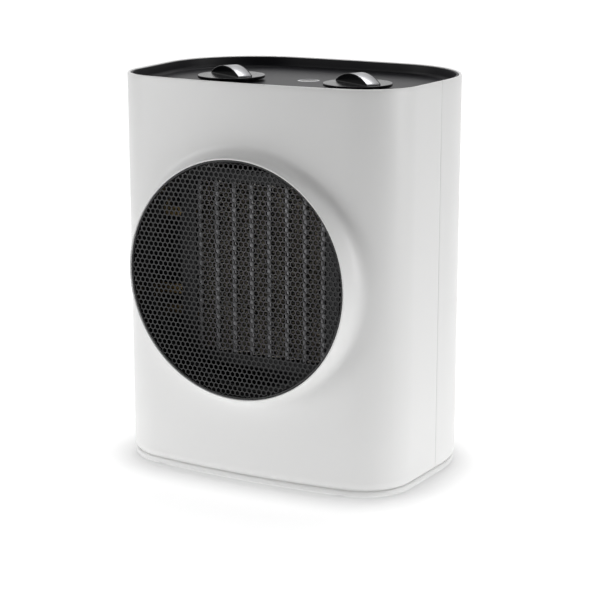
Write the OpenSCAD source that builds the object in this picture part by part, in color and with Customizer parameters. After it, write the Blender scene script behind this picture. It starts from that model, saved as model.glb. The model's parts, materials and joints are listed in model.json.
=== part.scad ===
// Ceramic space heater: a bowed upright body with a round flared air outlet, a recessed
// control panel with two turning knobs, a ceramic heating core, a fan and its motor.
// Millimetres. +Z is up, the air leaves towards -Y, the origin is the bottom centre.

/* [Body] */
// Greatest width of the body
body_w = 203; // [194:1:212]
// Depth of the body without the collar
body_d = 146; // [140:1:154]
// Height of the shells' top rim
body_h = 250; // [246:1:262]
// Wall of the two shells
wall = 1.8; // [1.6:0.1:2.4]
// Radius of the bowed front face
front_bow_r = 560; // [450:10:800]
// Radius of the nearly flat back face
back_bow_r = 800; // [600:10:1200]
// Radius of the front corners
front_corner_r = 35; // [30:1:40]
// Radius of the back corners
back_corner_r = 62; // [54:1:66]
// How much each side draws in towards the front
side_taper = 2.4; // [1:0.2:4]
// Gap between the two shells at the side seam
seam_gap = 0.3; // [0.2:0.1:0.6]

/* [Base] */
// How far the rubber feet lift the plinth
foot_lift = 1.2; // [0.8:0.1:2]
// Radius of a rubber foot
foot_r = 8; // [6:0.5:9]
// Height of the plinth band
plinth_h = 3.4; // [3:0.1:5]
// How far the plinth stands back from the shells
plinth_inset = 0.6; // [0.2:0.1:1]
// Height of the shadow groove over the plinth
groove_h = 1.8; // [1:0.1:2.5]
// Height of the base rim that plugs into the shells
plug_h = 5.6; // [4:0.2:8]
// Wall of that rim
plug_wall = 2; // [1.6:0.1:2.6]

/* [Air outlet] */
// Radius of the grille
grille_r = 74; // [70:0.5:77]
// Height of the outlet's and the fan's axis
axis_z = 131; // [127:1:135]
// How far the collar stands out of the face
collar_out = 10; // [8:0.5:12]
// Width of the collar's thin front edge
collar_lip = 1.2; // [1:0.1:2]
// Radius of the collar's hollow flare
flare_r = 40; // [30:1:60]
// How far the grille is set back from the collar's edge
grille_set = 0.8; // [0.4:0.1:1.5]
// Thickness of the grille
grille_t = 2.2; // [1.6:0.1:3]
// Width of the grille's plain rim
grille_rim = 3; // [2:0.5:5]
// Distance between the grille's cells
cell_pitch = 9; // [8:0.5:14]
// Width of the bars between the cells
cell_bar = 1.6; // [1.2:0.1:2.4]
// Width of the ledge that the grille's skirt stands on
ledge_w = 2.6; // [2:0.1:3.5]
// Thickness of that ledge
ledge_t = 2; // [1.5:0.1:3]
// Wall of the grille's skirt
skirt_t = 1.6; // [1.2:0.1:2.2]
// Length of the sleeve that the outlet reaches into the body
sleeve_in = 8; // [6:0.5:10]

/* [Control panel] */
// Depth of the panel's floor under the rim
panel_depth = 7.5; // [6.5:0.1:9]
// Thickness of the panel's floor
panel_t = 2; // [1.6:0.1:2.6]
// Wall of the panel's edge
panel_wall = 1.4; // [1.2:0.1:2]
// Step from the rim down to the panel's edge
panel_step = 0.5; // [0.2:0.1:1]
// Distance between the knobs' axes
knob_pitch = 90; // [80:1:100]
// Place of the knobs' axes from front to back
knob_y = -2; // [-8:1:8]
// Radius of a knob
knob_r = 21.5; // [18:0.5:23]
// Thickness of a knob's disc
knob_disc_h = 1.8; // [1.4:0.1:2.4]
// Gap between a knob's disc and the panel's floor
knob_gap = 1.5; // [1:0.1:2]
// Length of the arched grip across a knob
grip_l = 34; // [28:1:38]
// Width of the grip
grip_w = 11; // [8:0.5:12]
// Height of the grip over its disc
grip_h = 6; // [5:0.2:7]
// Height of the grip's two ends
grip_end = 1; // [0.8:0.1:1.6]
// Thickness of the bright inlay on the grip
inlay_t = 0.6; // [0.4:0.1:1]
// Black edge left on each side of the inlay
inlay_edge = 0.5; // [0.3:0.1:1]
// Direction in which the knobs point at rest
knob_turn = -32; // [-60:1:-20]
// Radius of the switch shafts
shaft_r = 3; // [2.5:0.1:3.2]
// Radius of the pilot lamp's window
lamp_r = 7; // [5:0.5:8]
// Place of the lamp window from front to back
lamp_y = 18; // [14:1:24]

/* [Heating core] */
// Upright bars in the core
bar_count = 8; // [6:1:8]
// Distance between the bars
bar_pitch = 12.5; // [11:0.1:12.6]
// Width of a bar
bar_w = 3; // [2.4:0.1:3.6]
// Wall of a bar, which is a flat tube
bar_wall = 0.5; // [0.4:0.05:0.7]
// How far the core's corners stay inside the duct
core_inset = 2.6; // [2:0.1:6]
// Thickness of the core from front to back
core_d = 15; // [12:0.5:16]
// Distance from the front face to the core
core_set = 23; // [21:0.5:24]
// Distance between the folds of the fins
fin_pitch = 4; // [3:0.5:6]
// Thickness of the fin sheet
fin_t = 0.4; // [0.3:0.05:0.5]
// Width of the frame at each side of the core
frame_side = 10.8; // [8:0.2:12]
// Height of the frame over and under the core
frame_end = 7.5; // [6:0.5:9]
// Gap between the stones of one bar
stone_gap = 2.6; // [1.5:0.1:4]

/* [Fan and motor] */
// Radius at the blades' tips
fan_r = 58; // [54:0.5:59]
// Number of blades
blade_count = 7; // [5:1:9]
// Width of a blade
blade_chord = 26; // [20:1:28]
// Thickness of a blade
blade_t = 1.6; // [1.2:0.1:2]
// Twist of the blades against the fan's plane
blade_tilt = 35; // [25:1:40]
// Radius of the fan's hub
hub_r = 15; // [12:0.5:17]
// Radius of the motor shaft
spindle_r = 2.5; // [2:0.1:3]
// Gap between the blades' tips and the tunnel
tip_gap = 3; // [2:0.5:4]
// Wall of the air duct
duct_wall = 2; // [1.6:0.1:2.4]
// Radius of the rotor
rotor_r = 12; // [11:0.5:13]
// Air gap around the rotor
air_gap = 0.4; // [0.3:0.05:0.6]
// Thickness of the stator core
stack_d = 20; // [16:1:22]
// Width of the stator core
stack_w = 50; // [48:1:54]

/* [Rear intake] */
// Radius of the field of slots
intake_r = 60; // [50:1:62]
// Distance between the rows of slots
slot_pitch = 7; // [6:0.5:9]
// Height of a slot
slot_h = 3.4; // [3:0.2:4.4]
// Width of the ribs between the slots
slot_rib = 6; // [4:0.5:8]

/* [Hidden] */
$fn = 64;
eps = 0.01;
// Clearances: parts that only rest together, parts that slide, parts pressed together
fit = 0.25;
slide_fit = 0.05;
press = 0.02;

// Heights and depths of the main planes
front_y = -(body_d - collar_out) / 2;
back_y = front_y + body_d;
collar_y = front_y - collar_out;
plinth_top = foot_lift + plinth_h;
shell_z = plinth_top + groove_h;
plug_top = shell_z + plug_h;
panel_z = body_h - panel_depth;
panel_under = panel_z - panel_t;
ledge_h = 3;
duct_r = grille_r - 0.5;
switch_w = 28;

// Plan outline of the body: a bowed front, a nearly flat back and four round corners
front_bow_y = front_y + front_bow_r;
back_bow_y = back_y - back_bow_r;
fc_x = body_w / 2 - side_taper - front_corner_r;
fc_y = front_bow_y - sqrt(pow(front_bow_r - front_corner_r, 2) - pow(fc_x, 2));
bc_x = body_w / 2 - back_corner_r;
bc_y = back_bow_y + sqrt(pow(back_bow_r - back_corner_r, 2) - pow(bc_x, 2));
front_tan = atan2(fc_x, front_bow_y - fc_y);
back_tan = atan2(bc_x, bc_y - back_bow_y);
side_len = norm([bc_x - fc_x, bc_y - fc_y]);
side_dir = atan2(bc_y - fc_y, bc_x - fc_x);
side_normal = side_dir - acos((front_corner_r - back_corner_r) / side_len);

function arc(c, r, a0, a1, n) =
    [for (i = [0:n]) c + r * [cos(a0 + (a1 - a0) * i / n), sin(a0 + (a1 - a0) * i / n)]];
function half_outline(inset) = concat(
    arc([0, front_bow_y], front_bow_r - inset, 270, 270 + front_tan, 4),
    arc([fc_x, fc_y], front_corner_r - inset, 276 + front_tan, 360 + side_normal, 7),
    arc([bc_x, bc_y], back_corner_r - inset, 360 + side_normal, 444 - back_tan, 9),
    arc([0, back_bow_y], back_bow_r - inset, 90 - back_tan, 90, 3));
function outline(inset) = let (h = half_outline(inset), n = len(h))
    concat(h, [for (i = [1:n - 2]) [-h[n - 1 - i][0], h[n - 1 - i][1]]]);
// Front and back surface of the body at a given x
front_tan_x = front_bow_r * sin(front_tan);
back_tan_x = back_bow_r * sin(back_tan);
function skin_front(x, inset) = abs(x) < front_tan_x
    ? front_bow_y - sqrt(pow(front_bow_r - inset, 2) - x * x)
    : fc_y - sqrt(pow(front_corner_r - inset, 2) - pow(abs(x) - fc_x, 2));
function skin_back(x, inset) = abs(x) < back_tan_x
    ? back_bow_y + sqrt(pow(back_bow_r - inset, 2) - x * x)
    : bc_y + sqrt(pow(back_corner_r - inset, 2) - pow(abs(x) - bc_x, 2));

module body_solid(inset, z0, z1) {
    translate([0, 0, z0]) linear_extrude(z1 - z0) polygon(outline(inset));
}
module body_ring(inset, thick, z0, z1) {
    difference() {
        body_solid(inset, z0, z1);
        body_solid(inset + thick, z0 - 1, z1 + 1);
    }
}
module block(x0, x1, y0, y1, z0, z1) {
    translate([x0, y0, z0]) cube([x1 - x0, y1 - y0, z1 - z0]);
}
module half_space_front(y) { block(-200, 200, -200, y, -50, 400); }
module half_space_back(y) { block(-200, 200, y, 200, -50, 400); }
// A round bar along Y, and a flat shape extruded along Y
module rod_y(x, z, r, y0, y1) {
    translate([x, y1, z]) rotate([90, 0, 0]) cylinder(h = y1 - y0, r = r);
}
module rod_z(x, y, r, z0, z1) { translate([x, y, z0]) cylinder(h = z1 - z0, r = r); }
module slab_y(y0, y1) {
    translate([0, y1, axis_z]) rotate([90, 0, 0]) linear_extrude(y1 - y0) children();
}
// A profile of radius against depth turned about the outlet's axis
module turned_y() { translate([0, 0, axis_z]) rotate([90, 0, 0]) rotate_extrude() children(); }
module on_axis() { translate([0, 0, axis_z]) children(); }

// A round wire swept along a list of points
function unit(v) = v / norm(v);
function tangent(p, i) = unit(p[min(i + 1, len(p) - 1)] - p[max(i - 1, 0)]);
function side_of(t) = unit(cross(abs(t[2]) < 0.9 ? [0, 0, 1] : [1, 0, 0], t));
function around(c, t, r, a) = let (u = side_of(t)) c + r * (u * cos(a) + cross(t, u) * sin(a));
module tube(p, r, sides) {
    n = len(p);
    rings = [for (i = [0:n - 1], k = [0:sides - 1]) around(p[i], tangent(p, i), r, 360 * k / sides)];
    walls = [for (i = [0:n - 2], k = [0:sides - 1]) let (a = i * sides, b = (k + 1) % sides)
        [a + k, a + b, a + sides + b, a + sides + k]];
    start = [for (k = [sides - 1:-1:0]) k];
    finish = [for (k = [0:sides - 1]) (n - 1) * sides + k];
    polyhedron(points = rings, faces = concat(walls, [start, finish]));
}

// ---- Shells ----

post_r = 5.8;
post_clear = 5.2;
post_x = knob_pitch / 2 + switch_w / 2 + post_clear + post_r;
post_z = [44, body_h - 28];
post_seat_y = 16;
shell_screw_r = 1.6;
shell_head_r = 3.8;
ear_r = grille_r + 14;
ear_x = ear_r * cos(45);
ear_y = front_y + 28;
ear_t = 3;
boss_r = 5;
duct_screw_r = 1.7;
base_screw_r = 1.5;
base_boss_x = fc_x;
base_boss_front = skin_front(base_boss_x, wall) + boss_r - 0.6;
base_boss_back = skin_back(base_boss_x, wall) - boss_r + 0.6;
base_boss_h = 15;
window_r = grille_r - ledge_w;
ledge_y = front_y + sleeve_in - ledge_t;

module at_posts() {
    for (x = [-post_x, post_x], z = post_z) translate([x, 0, z]) children();
}
module at_ears() {
    for (x = [-ear_x, ear_x], z = [-ear_x, ear_x]) translate([x, 0, axis_z + z]) children();
}
// The collar: a straight sleeve through the face, and a hollow flare round it that ends in the wall
flare_depth = skin_front(grille_r + collar_lip, 0) - collar_y + 5;
module collar() {
    difference() {
        turned_y() difference() {
            translate([grille_r, -collar_y - flare_depth])
                square([collar_lip + flare_r, flare_depth]);
            translate([grille_r + collar_lip + flare_r, -collar_y]) circle(r = flare_r);
            translate([grille_r + collar_lip + flare_r / 4, -collar_y - flare_depth - 1])
                square([flare_r, flare_depth + 2]);
        }
        body_solid(wall - 0.2, shell_z, body_h);
    }
    turned_y() translate([window_r, -front_y - sleeve_in])
        square([grille_r + collar_lip - window_r, collar_out + sleeve_in]);
}
module panel_ledge() { body_ring(wall - 0.4, 3.4, panel_under - ledge_h, panel_under - 0.1); }

module front_shell() {
    color("whitesmoke") difference() {
        union() {
            intersection() {
                union() {
                    body_ring(0, wall, shell_z, body_h);
                    panel_ledge();
                }
                half_space_front(-seam_gap / 2);
            }
            collar();
            intersection() {
                body_solid(wall / 2, shell_z, body_h);
                union() {
                    at_ears() rod_y(0, 0, boss_r, front_y, ear_y);
                    at_posts() rod_y(0, 0, boss_r, front_y, -0.8);
                }
            }
            for (x = [-base_boss_x, base_boss_x])
                rod_z(x, base_boss_front, boss_r, plug_top + 0.1, plug_top + base_boss_h);
        }
        rod_y(0, axis_z, window_r, collar_y - 1, front_y + sleeve_in + 1);
        rod_y(0, axis_z, grille_r + 0.15, collar_y - 1, ledge_y);
        at_ears() rod_y(0, 0, duct_screw_r, ear_y - 14, ear_y + 1);
        at_posts() rod_y(0, 0, shell_screw_r, -14, 1);
        for (x = [-base_boss_x, base_boss_x])
            rod_z(x, base_boss_front, base_screw_r + slide_fit, plug_top, plug_top + base_boss_h - 3);
    }
}

// The intake: rows of slots in three columns, shortened to a round field
slot_rows = floor(intake_r / slot_pitch);
module intake_slots() {
    for (row = [-slot_rows:slot_rows]) {
        z = row * slot_pitch;
        half = sqrt(intake_r * intake_r - z * z);
        inner = intake_r / 3;
        if (half > inner + slot_rib)
            for (side = [-1, 1])
                translate([side * (inner + half) / 2, z])
                    square([half - inner - slot_rib, slot_h], center = true);
        if (half > slot_rib)
            translate([0, z]) square([2 * min(inner, half) - slot_rib, slot_h], center = true);
    }
}
gland_x = 52;
gland_z = 26;
gland_r = 5;
gland_flange_r = 7.5;
gland_bore_r = 3.7;
gland_face_y = back_y - 0.5;
gland_seat_y = gland_face_y - 1.6;

module rear_shell() {
    color("whitesmoke") difference() {
        union() {
            intersection() {
                union() {
                    body_ring(0, wall, shell_z, body_h);
                    panel_ledge();
                }
                half_space_back(seam_gap / 2);
            }
            // tongue that laps inside the front shell at each side seam
            intersection() {
                body_ring(wall + fit, 1.2, shell_z + 8, panel_under - ledge_h - 4);
                block(-200, 200, -3, 4, 0, body_h);
            }
            intersection() {
                body_ring(wall - 0.4, 2, shell_z + 8, panel_under - ledge_h - 4);
                block(-200, 200, 1, 4, 0, body_h);
            }
            intersection() {
                body_solid(wall / 2, shell_z, body_h);
                at_posts() rod_y(0, 0, post_r, -0.5, back_y);
            }
            for (x = [-base_boss_x, base_boss_x])
                rod_z(x, base_boss_back, boss_r, plug_top + 0.1, plug_top + base_boss_h);
            rod_y(gland_x, gland_z, gland_flange_r + 1, skin_back(gland_x, wall) - 2, gland_seat_y);
        }
        slab_y(bc_y, back_y + 1) intake_slots();
        at_posts() rod_y(0, 0, shell_screw_r + 0.3, -2, post_seat_y + 1);
        at_posts() rod_y(0, 0, shell_head_r + 0.4, post_seat_y, back_y + 1);
        rod_y(gland_x, gland_z, gland_r + 0.1, bc_y, back_y + 1);
        rod_y(gland_x, gland_z, gland_flange_r + 0.15, gland_seat_y, back_y + 1);
        for (x = [-base_boss_x, base_boss_x])
            rod_z(x, base_boss_back, base_screw_r + slide_fit, plug_top, plug_top + base_boss_h - 3);
    }
}

// ---- Base ----

foot_sink = 1.2;
foot_front = front_y + 24;
foot_back = back_y - 26;
foot_x = fc_x - foot_r - 2;
base_head_r = 3.4;
base_head_h = 2.2;
base_seat_z = plinth_top;
tip_x = 22;
tip_y = 6;
tip_stem_r = 4;
tip_head_r = 5.4;
tip_travel = 5;
tip_floor = 2.4;
tip_top_z = plinth_top + 22;
tip_w = 20;
tip_screw_x = 14;
block_x = -34;
block_y = 30;
block_l = 36;
block_w = 14;
block_h = 13;

module at_base_screws() {
    for (x = [-base_boss_x, base_boss_x], y = [base_boss_front, base_boss_back])
        translate([x, y, 0]) children();
}
module at_feet() {
    for (x = [-foot_x, foot_x], y = [foot_front, foot_back]) translate([x, y, 0]) children();
}
module base_plate() {
    color("whitesmoke") difference() {
        union() {
            body_solid(plinth_inset, foot_lift, plinth_top);
            body_ring(wall + fit, plug_wall, plinth_top - eps, plug_top);
            intersection() {
                body_solid(wall + fit, plinth_top - eps, plug_top);
                at_base_screws() cylinder(h = plug_top, r = boss_r);
            }
        }
        at_feet() rod_z(0, 0, foot_r + 0.15, 0, foot_lift + foot_sink);
        at_base_screws() rod_z(0, 0, base_head_r + fit, 0, base_seat_z);
        at_base_screws() rod_z(0, 0, base_screw_r + 0.2, 0, plug_top + 1);
        rod_z(tip_x, tip_y, tip_stem_r + fit, 0, plinth_top + 1);
    }
}
module rubber_feet() {
    color("dimgray") at_feet() cylinder(h = foot_lift + foot_sink, r = foot_r);
}
module base_screws() {
    color("silver") at_base_screws() {
        rod_z(0, 0, base_head_r, base_seat_z - base_head_h, base_seat_z);
        rod_z(0, 0, base_screw_r, base_seat_z - eps, plug_top + base_boss_h - 5);
    }
}
module shell_screws() {
    color("silver") at_posts() {
        rod_y(0, 0, shell_head_r, post_seat_y, post_seat_y + 2.4);
        rod_y(0, 0, shell_screw_r - slide_fit, -12, post_seat_y + eps);
    }
}
module cord_gland() {
    color("dimgray") difference() {
        union() {
            rod_y(gland_x, gland_z, gland_flange_r, gland_seat_y, gland_face_y);
            rod_y(gland_x, gland_z, gland_r, gland_seat_y - 9, gland_seat_y + eps);
        }
        rod_y(gland_x, gland_z, gland_bore_r, gland_seat_y - 10, gland_face_y + 1);
    }
}

// ---- Air outlet ----

grille_front = collar_y + grille_set;
grille_back = grille_front + grille_t;
cell_rows = floor((grille_r - grille_rim) / (cell_pitch * sin(60)));
cell_cols = floor((grille_r - grille_rim) / cell_pitch) + 1;

module honeycomb(field_r) {
    for (j = [-cell_rows:cell_rows], i = [-cell_cols:cell_cols]) {
        c = [(i + (j % 2 == 0 ? 0 : 0.5)) * cell_pitch, j * cell_pitch * sin(60)];
        if (norm(c) < field_r - cell_pitch / 2)
            translate(c) rotate(30) circle(r = (cell_pitch - cell_bar) / 2 / cos(30), $fn = 6);
    }
}
module front_grille() {
    color("#202124") {
        slab_y(grille_front, grille_back) difference() {
            circle(r = grille_r);
            honeycomb(grille_r - grille_rim);
        }
        slab_y(grille_back - eps, ledge_y) difference() {
            circle(r = grille_r);
            circle(r = grille_r - skirt_t);
        }
    }
}

// ---- Control panel and knobs ----

knob_x = knob_pitch / 2;
knob_z = panel_z + knob_gap;
knob_top = knob_z + knob_disc_h;
switch_h = 13.4;
cover_h = 2.6;
switch_top = panel_under;
cover_top = switch_top - switch_h;
switch_screw_x = 10.5;
switch_screw_r = 1.4;
cam_r = 9;
cam_h = 6.4;
shaft_top = knob_top + grip_h - 2.6;
grip_rise = grip_h - grip_end;
grip_arc_r = (grip_l * grip_l / 4 + grip_rise * grip_rise) / (2 * grip_rise);
hub_drop = 1;

module at_knobs() { for (x = [-knob_x, knob_x]) translate([x, knob_y, 0]) children(); }
module control_panel() {
    color("#26272a") difference() {
        union() {
            body_solid(wall + 0.15, panel_under, panel_z);
            body_ring(wall + 0.15, panel_wall, panel_z - eps, body_h - panel_step);
        }
        at_knobs() rod_z(0, 0, shaft_r + 2.6, panel_under - 1, panel_z + 1);
        at_knobs() for (x = [-switch_screw_x, switch_screw_x]) {
            rod_z(x, 0, switch_screw_r + 0.1, panel_under - 1, panel_z + 1);
            translate([x, 0, panel_z - 1.3]) cylinder(h = 1.4, r1 = switch_screw_r, r2 = 2.9);
        }
        rod_z(0, lamp_y, lamp_r + 0.1, panel_under - 1, panel_z + 1);
    }
}
module d_shape(r, flat) { intersection() { circle(r = r); translate([-r, -r]) square([2 * r, r + flat]); } }
module arch(r, w) {
    translate([0, w / 2, knob_top + grip_h - grip_arc_r]) rotate([90, 0, 0]) cylinder(h = w, r = r, $fn = 96);
}
module knob() {
    rotate(knob_turn) difference() {
        union() {
            rod_z(0, 0, knob_r, knob_z, knob_top);
            rod_z(0, 0, shaft_r + 2.2, knob_z - hub_drop, knob_top);
            intersection() {
                block(-grip_l / 2, grip_l / 2, -grip_w / 2, grip_w / 2,
                    knob_top - eps, knob_top + grip_h + 1);
                arch(grip_arc_r, grip_w + 2);
            }
        }
        difference() {
            block(-grip_l, grip_l, inlay_edge - grip_w / 2, grip_w / 2 - inlay_edge,
                knob_top + grip_end - inlay_t, knob_top + grip_h + 1);
            arch(grip_arc_r - inlay_t - slide_fit, grip_w + 2);
        }
        translate([0, 0, knob_z - hub_drop - 1]) linear_extrude(shaft_top - knob_z + hub_drop + 1)
            d_shape(shaft_r + slide_fit, 2.2);
    }
}
module knob_inlay() {
    rotate(knob_turn) intersection() {
        difference() {
            arch(grip_arc_r - slide_fit, grip_w - 2 * inlay_edge - 0.2);
            arch(grip_arc_r - inlay_t, grip_w);
        }
        block(-grip_l / 2 + 0.1, grip_l / 2 - 0.1, -grip_w, grip_w,
            knob_top + grip_end - inlay_t + slide_fit, knob_top + grip_h + 1);
    }
}
module selector_knob() { color("#151617") translate([-knob_x, knob_y, 0]) knob(); }
module thermostat_knob() { color("#151617") translate([knob_x, knob_y, 0]) knob(); }
module selector_inlay() { color("silver") translate([-knob_x, knob_y, 0]) knob_inlay(); }
module thermostat_inlay() { color("silver") translate([knob_x, knob_y, 0]) knob_inlay(); }
module turned_shaft(z0) {
    rotate(knob_turn) {
        rod_z(0, 0, shaft_r, z0, panel_z);
        translate([0, 0, panel_z - eps]) linear_extrude(shaft_top - 0.2 - panel_z) d_shape(shaft_r, 2.1);
    }
}
module switch_holes() {
    for (x = [-switch_screw_x, switch_screw_x])
        rod_z(x, 0, switch_screw_r + 0.1, switch_top - 9, switch_top + 1);
}
module selector_switch() {
    color("#3a3a3c") translate([-knob_x, knob_y, 0]) difference() {
        block(-switch_w / 2, switch_w / 2, -switch_w / 2, switch_w / 2, cover_top, switch_top);
        rod_z(0, 0, shaft_r + slide_fit, cover_top - 1, switch_top + 1);
        rod_z(0, 0, cam_r + 0.4, cover_top - 1, cover_top + cam_h + 0.4);
        switch_holes();
    }
}
module switch_cover() {
    color("#c9b48a") translate([-knob_x, knob_y, 0])
        block(-switch_w / 2, switch_w / 2, -switch_w / 2, switch_w / 2, cover_top - cover_h, cover_top);
}
module selector_cam() {
    color("ivory") translate([-knob_x, knob_y, 0]) {
        turned_shaft(cover_top + 0.2);
        difference() {
            rod_z(0, 0, cam_r, cover_top + 0.2, cover_top + 0.2 + cam_h);
            for (a = [0:45:135]) rotate(a) rod_z(cam_r + 1, 0, 3, cover_top, cover_top + 4);
        }
    }
}
tab_w = 6.3;
tab_t = 0.8;
tab_l = 8;
module switch_terminals() {
    color("gold") for (x = [-9, 9], y = [-8, 8])
        translate([x - knob_x, y + knob_y, cover_top - cover_h])
            block(-tab_t / 2, tab_t / 2, -tab_w / 2, tab_w / 2, -tab_l, 0);
}
stat_l = 32;
stat_w = 20;
stat_h = 10;
stat_post_x = 12;
strip_gap = 3.2;
strip_t = 0.8;
strip_w = 8;
arm_z = switch_top - stat_h - strip_gap;
strip_z = arm_z - strip_gap;
module thermostat_base() {
    color("linen") translate([knob_x, knob_y, 0]) difference() {
        union() {
            block(-stat_l / 2, stat_l / 2, -stat_w / 2, stat_w / 2, switch_top - stat_h, switch_top);
            rod_z(stat_post_x, 0, 3, strip_z - 2.4, switch_top - stat_h + eps);
            rod_z(stat_post_x, 0, 5, arm_z + strip_t, switch_top - stat_h + eps);
            rod_z(stat_post_x, 0, 5, strip_z + strip_t, arm_z);
            rod_z(stat_post_x, 0, 5, strip_z - 2.4, strip_z);
        }
        rod_z(0, 0, shaft_r + slide_fit, switch_top - stat_h - 1, switch_top + 1);
        switch_holes();
    }
}
module thermostat_shaft() {
    color("silver") translate([knob_x, knob_y, 0]) turned_shaft(arm_z + strip_t + 0.3);
}
module leaf(z) {
    translate([knob_x, knob_y, 0]) difference() {
        block(-24, stat_post_x + 5, -strip_w / 2, strip_w / 2, z, z + strip_t);
        rod_z(stat_post_x, 0, 3 + slide_fit, z - 1, z + 2);
    }
}
module contact_arm() {
    color("darkgoldenrod") {
        leaf(arm_z);
        translate([knob_x - 20, knob_y, 0]) rod_z(0, 0, 2, arm_z - strip_gap / 2 + 0.5, arm_z + eps);
    }
}
module bimetal_strip() {
    color("slategray") {
        leaf(strip_z);
        translate([knob_x - 20, knob_y, 0])
            rod_z(0, 0, 2, strip_z + strip_t - eps, strip_z + strip_t + 0.6);
    }
}
module switch_screws() {
    color("silver") at_knobs() for (x = [-switch_screw_x, switch_screw_x]) {
        rod_z(x, 0, switch_screw_r, switch_top - 8, panel_z - 0.1);
        translate([x, 0, panel_z - 1.2]) cylinder(h = 1.1, r1 = switch_screw_r, r2 = 2.6);
    }
}
module lamp_window() {
    color("gainsboro") {
        rod_z(0, lamp_y, lamp_r, panel_under - 1, panel_z);
        rod_z(0, lamp_y, lamp_r + 1.5, panel_under - 1.2, panel_under - 0.05);
    }
}
lamp_pins = panel_under - 22;
lamp_end = lamp_pins - 0.3;
module pilot_lamp() {
    color("orange") {
        rod_z(0, lamp_y, 4, panel_under - 15, panel_under - 1.4);
        for (x = [-1.5, 1.5]) rod_z(x, lamp_y, 0.5, lamp_pins, panel_under - 15 + eps);
    }
}

// ---- Heating core ----

core_y = front_y + core_set;
core_back = core_y + core_d;
core_w = (bar_count - 1) * bar_pitch + bar_w;
core_h = 2 * sqrt(pow(duct_r - core_inset, 2) - pow(core_w / 2, 2));
frame_w = core_w + 2 * frame_side;
frame_h = core_h + 2 * frame_end;
fin_w = bar_pitch - bar_w - 0.2;
frame_front = core_y - 2;
frame_back = core_back + 4;
flange_t = 3;
spring_room = 1.6;
tab_z = [32, -18, -31];

function bar_x(i) = (i - (bar_count - 1) / 2) * bar_pitch;
module at_bars() { for (i = [0:bar_count - 1]) translate([bar_x(i), 0]) children(); }
module heater_frame() {
    color("#1c1c1e") difference() {
        union() {
            slab_y(frame_front, frame_back - flange_t + eps) intersection() {
                square([frame_w, frame_h], center = true);
                circle(r = duct_r - fit);
            }
            slab_y(frame_back - flange_t, frame_back) circle(r = duct_r - fit);
        }
        slab_y(frame_front - 1, core_back + 0.2)
            translate([-core_w / 2 - 0.2, -core_h / 2 - 0.2])
                square([core_w + spring_room + 0.4, core_h + 0.4]);
        slab_y(frame_front - 1, frame_back + 1) square([core_w - 2, core_h - 2], center = true);
        for (z = tab_z) block(-frame_w, -core_w / 2, core_y, core_y + tab_t + 0.4,
            axis_z + z - tab_w / 2 - 0.2, axis_z + z + tab_w / 2 + 0.2);
    }
}
module heater_bars() {
    color("silver") slab_y(core_y, core_back) at_bars() difference() {
        square([bar_w, core_h], center = true);
        square([bar_w - 2 * bar_wall, core_h + 1], center = true);
    }
}
// Stones fill every second bar, one above the other
stone_rows = 4;
stone_l = (core_h - (stone_rows + 1) * stone_gap) / stone_rows;
module ceramic_stones() {
    color("#8a4b3a") for (i = [0:2:bar_count - 1], k = [0:stone_rows - 1])
        translate([bar_x(i), 0, axis_z - core_h / 2 + stone_gap + k * (stone_l + stone_gap)])
            block(-bar_w / 2 + bar_wall + 0.05, bar_w / 2 - bar_wall - 0.05,
                core_y + 1, core_back - 1, 0, stone_l);
}
// One folded strip: the sheet runs to and fro between two bars, all the way up. Both edges of
// the sheet are the same zigzag, moved apart sideways
folds = 2 * floor(core_h / fin_pitch);
fold_rise = (core_h - 1) / folds;
fold_move = fin_t * fin_w / (2 * fold_rise);
function fold_edge(move) = [for (i = [0:folds])
    [(i % 2 == 0 ? -1 : 1) * (fin_w / 2 - fold_move) + move, (i - folds / 2) * fold_rise]];
module folded_fin() {
    left = fold_edge(-fold_move);
    right = fold_edge(fold_move);
    polygon(concat(left, [for (i = [folds:-1:0]) right[i]]));
}
module heater_fins() {
    color("gray") slab_y(core_y + 0.2, core_back - 0.2)
        for (i = [0:bar_count - 2]) translate([(bar_x(i) + bar_x(i + 1)) / 2, 0]) folded_fin();
}
tab_out = grille_r + 7;
module heater_terminals() {
    color("gold") for (z = tab_z) block(-tab_out, -core_w / 2 - 0.05, core_y + 0.1, core_y + 0.1 + tab_t,
        axis_z + z - tab_w / 2, axis_z + z + tab_w / 2);
}
module clamp_spring() {
    color("lightsteelblue") slab_y(core_y + 2, core_back - 2) translate([core_w / 2 + 0.1, 0])
        polygon([for (i = [0:8]) [i % 2 == 0 ? 0 : spring_room - 0.5, (i - 4) * 12],
            for (i = [8:-1:0]) [(i % 2 == 0 ? 0 : spring_room - 0.5) + 0.4, (i - 4) * 12]]);
}
strap_y = frame_back + 0.3;
strap_half = 56;
module sensor_strap() {
    color("silver") difference() {
        block(-strap_half, strap_half, strap_y - 0.3, strap_y + 0.7, axis_z - 6, axis_z + 6);
        for (x = [-14, 14]) rod_y(x, axis_z, 1.6, strap_y - 2, strap_y + 2);
    }
}
cutout_h = 3.4;
module overheat_cutout() {
    color("#2a2a2c") {
        rod_y(26, axis_z, 8, strap_y + 0.7, strap_y + 0.7 + cutout_h);
        rod_y(26, axis_z, 6, strap_y + 0.7, strap_y + 1.7 + cutout_h);
    }
}
module thermal_fuse() {
    color("tan") translate([-40, strap_y + 2.8, axis_z]) rotate([0, 90, 0]) {
        cylinder(h = 14, r = 2);
        translate([0, 0, -8]) cylinder(h = 30, r = 0.5);
    }
}

// ---- Duct, fan and motor ----

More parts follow.
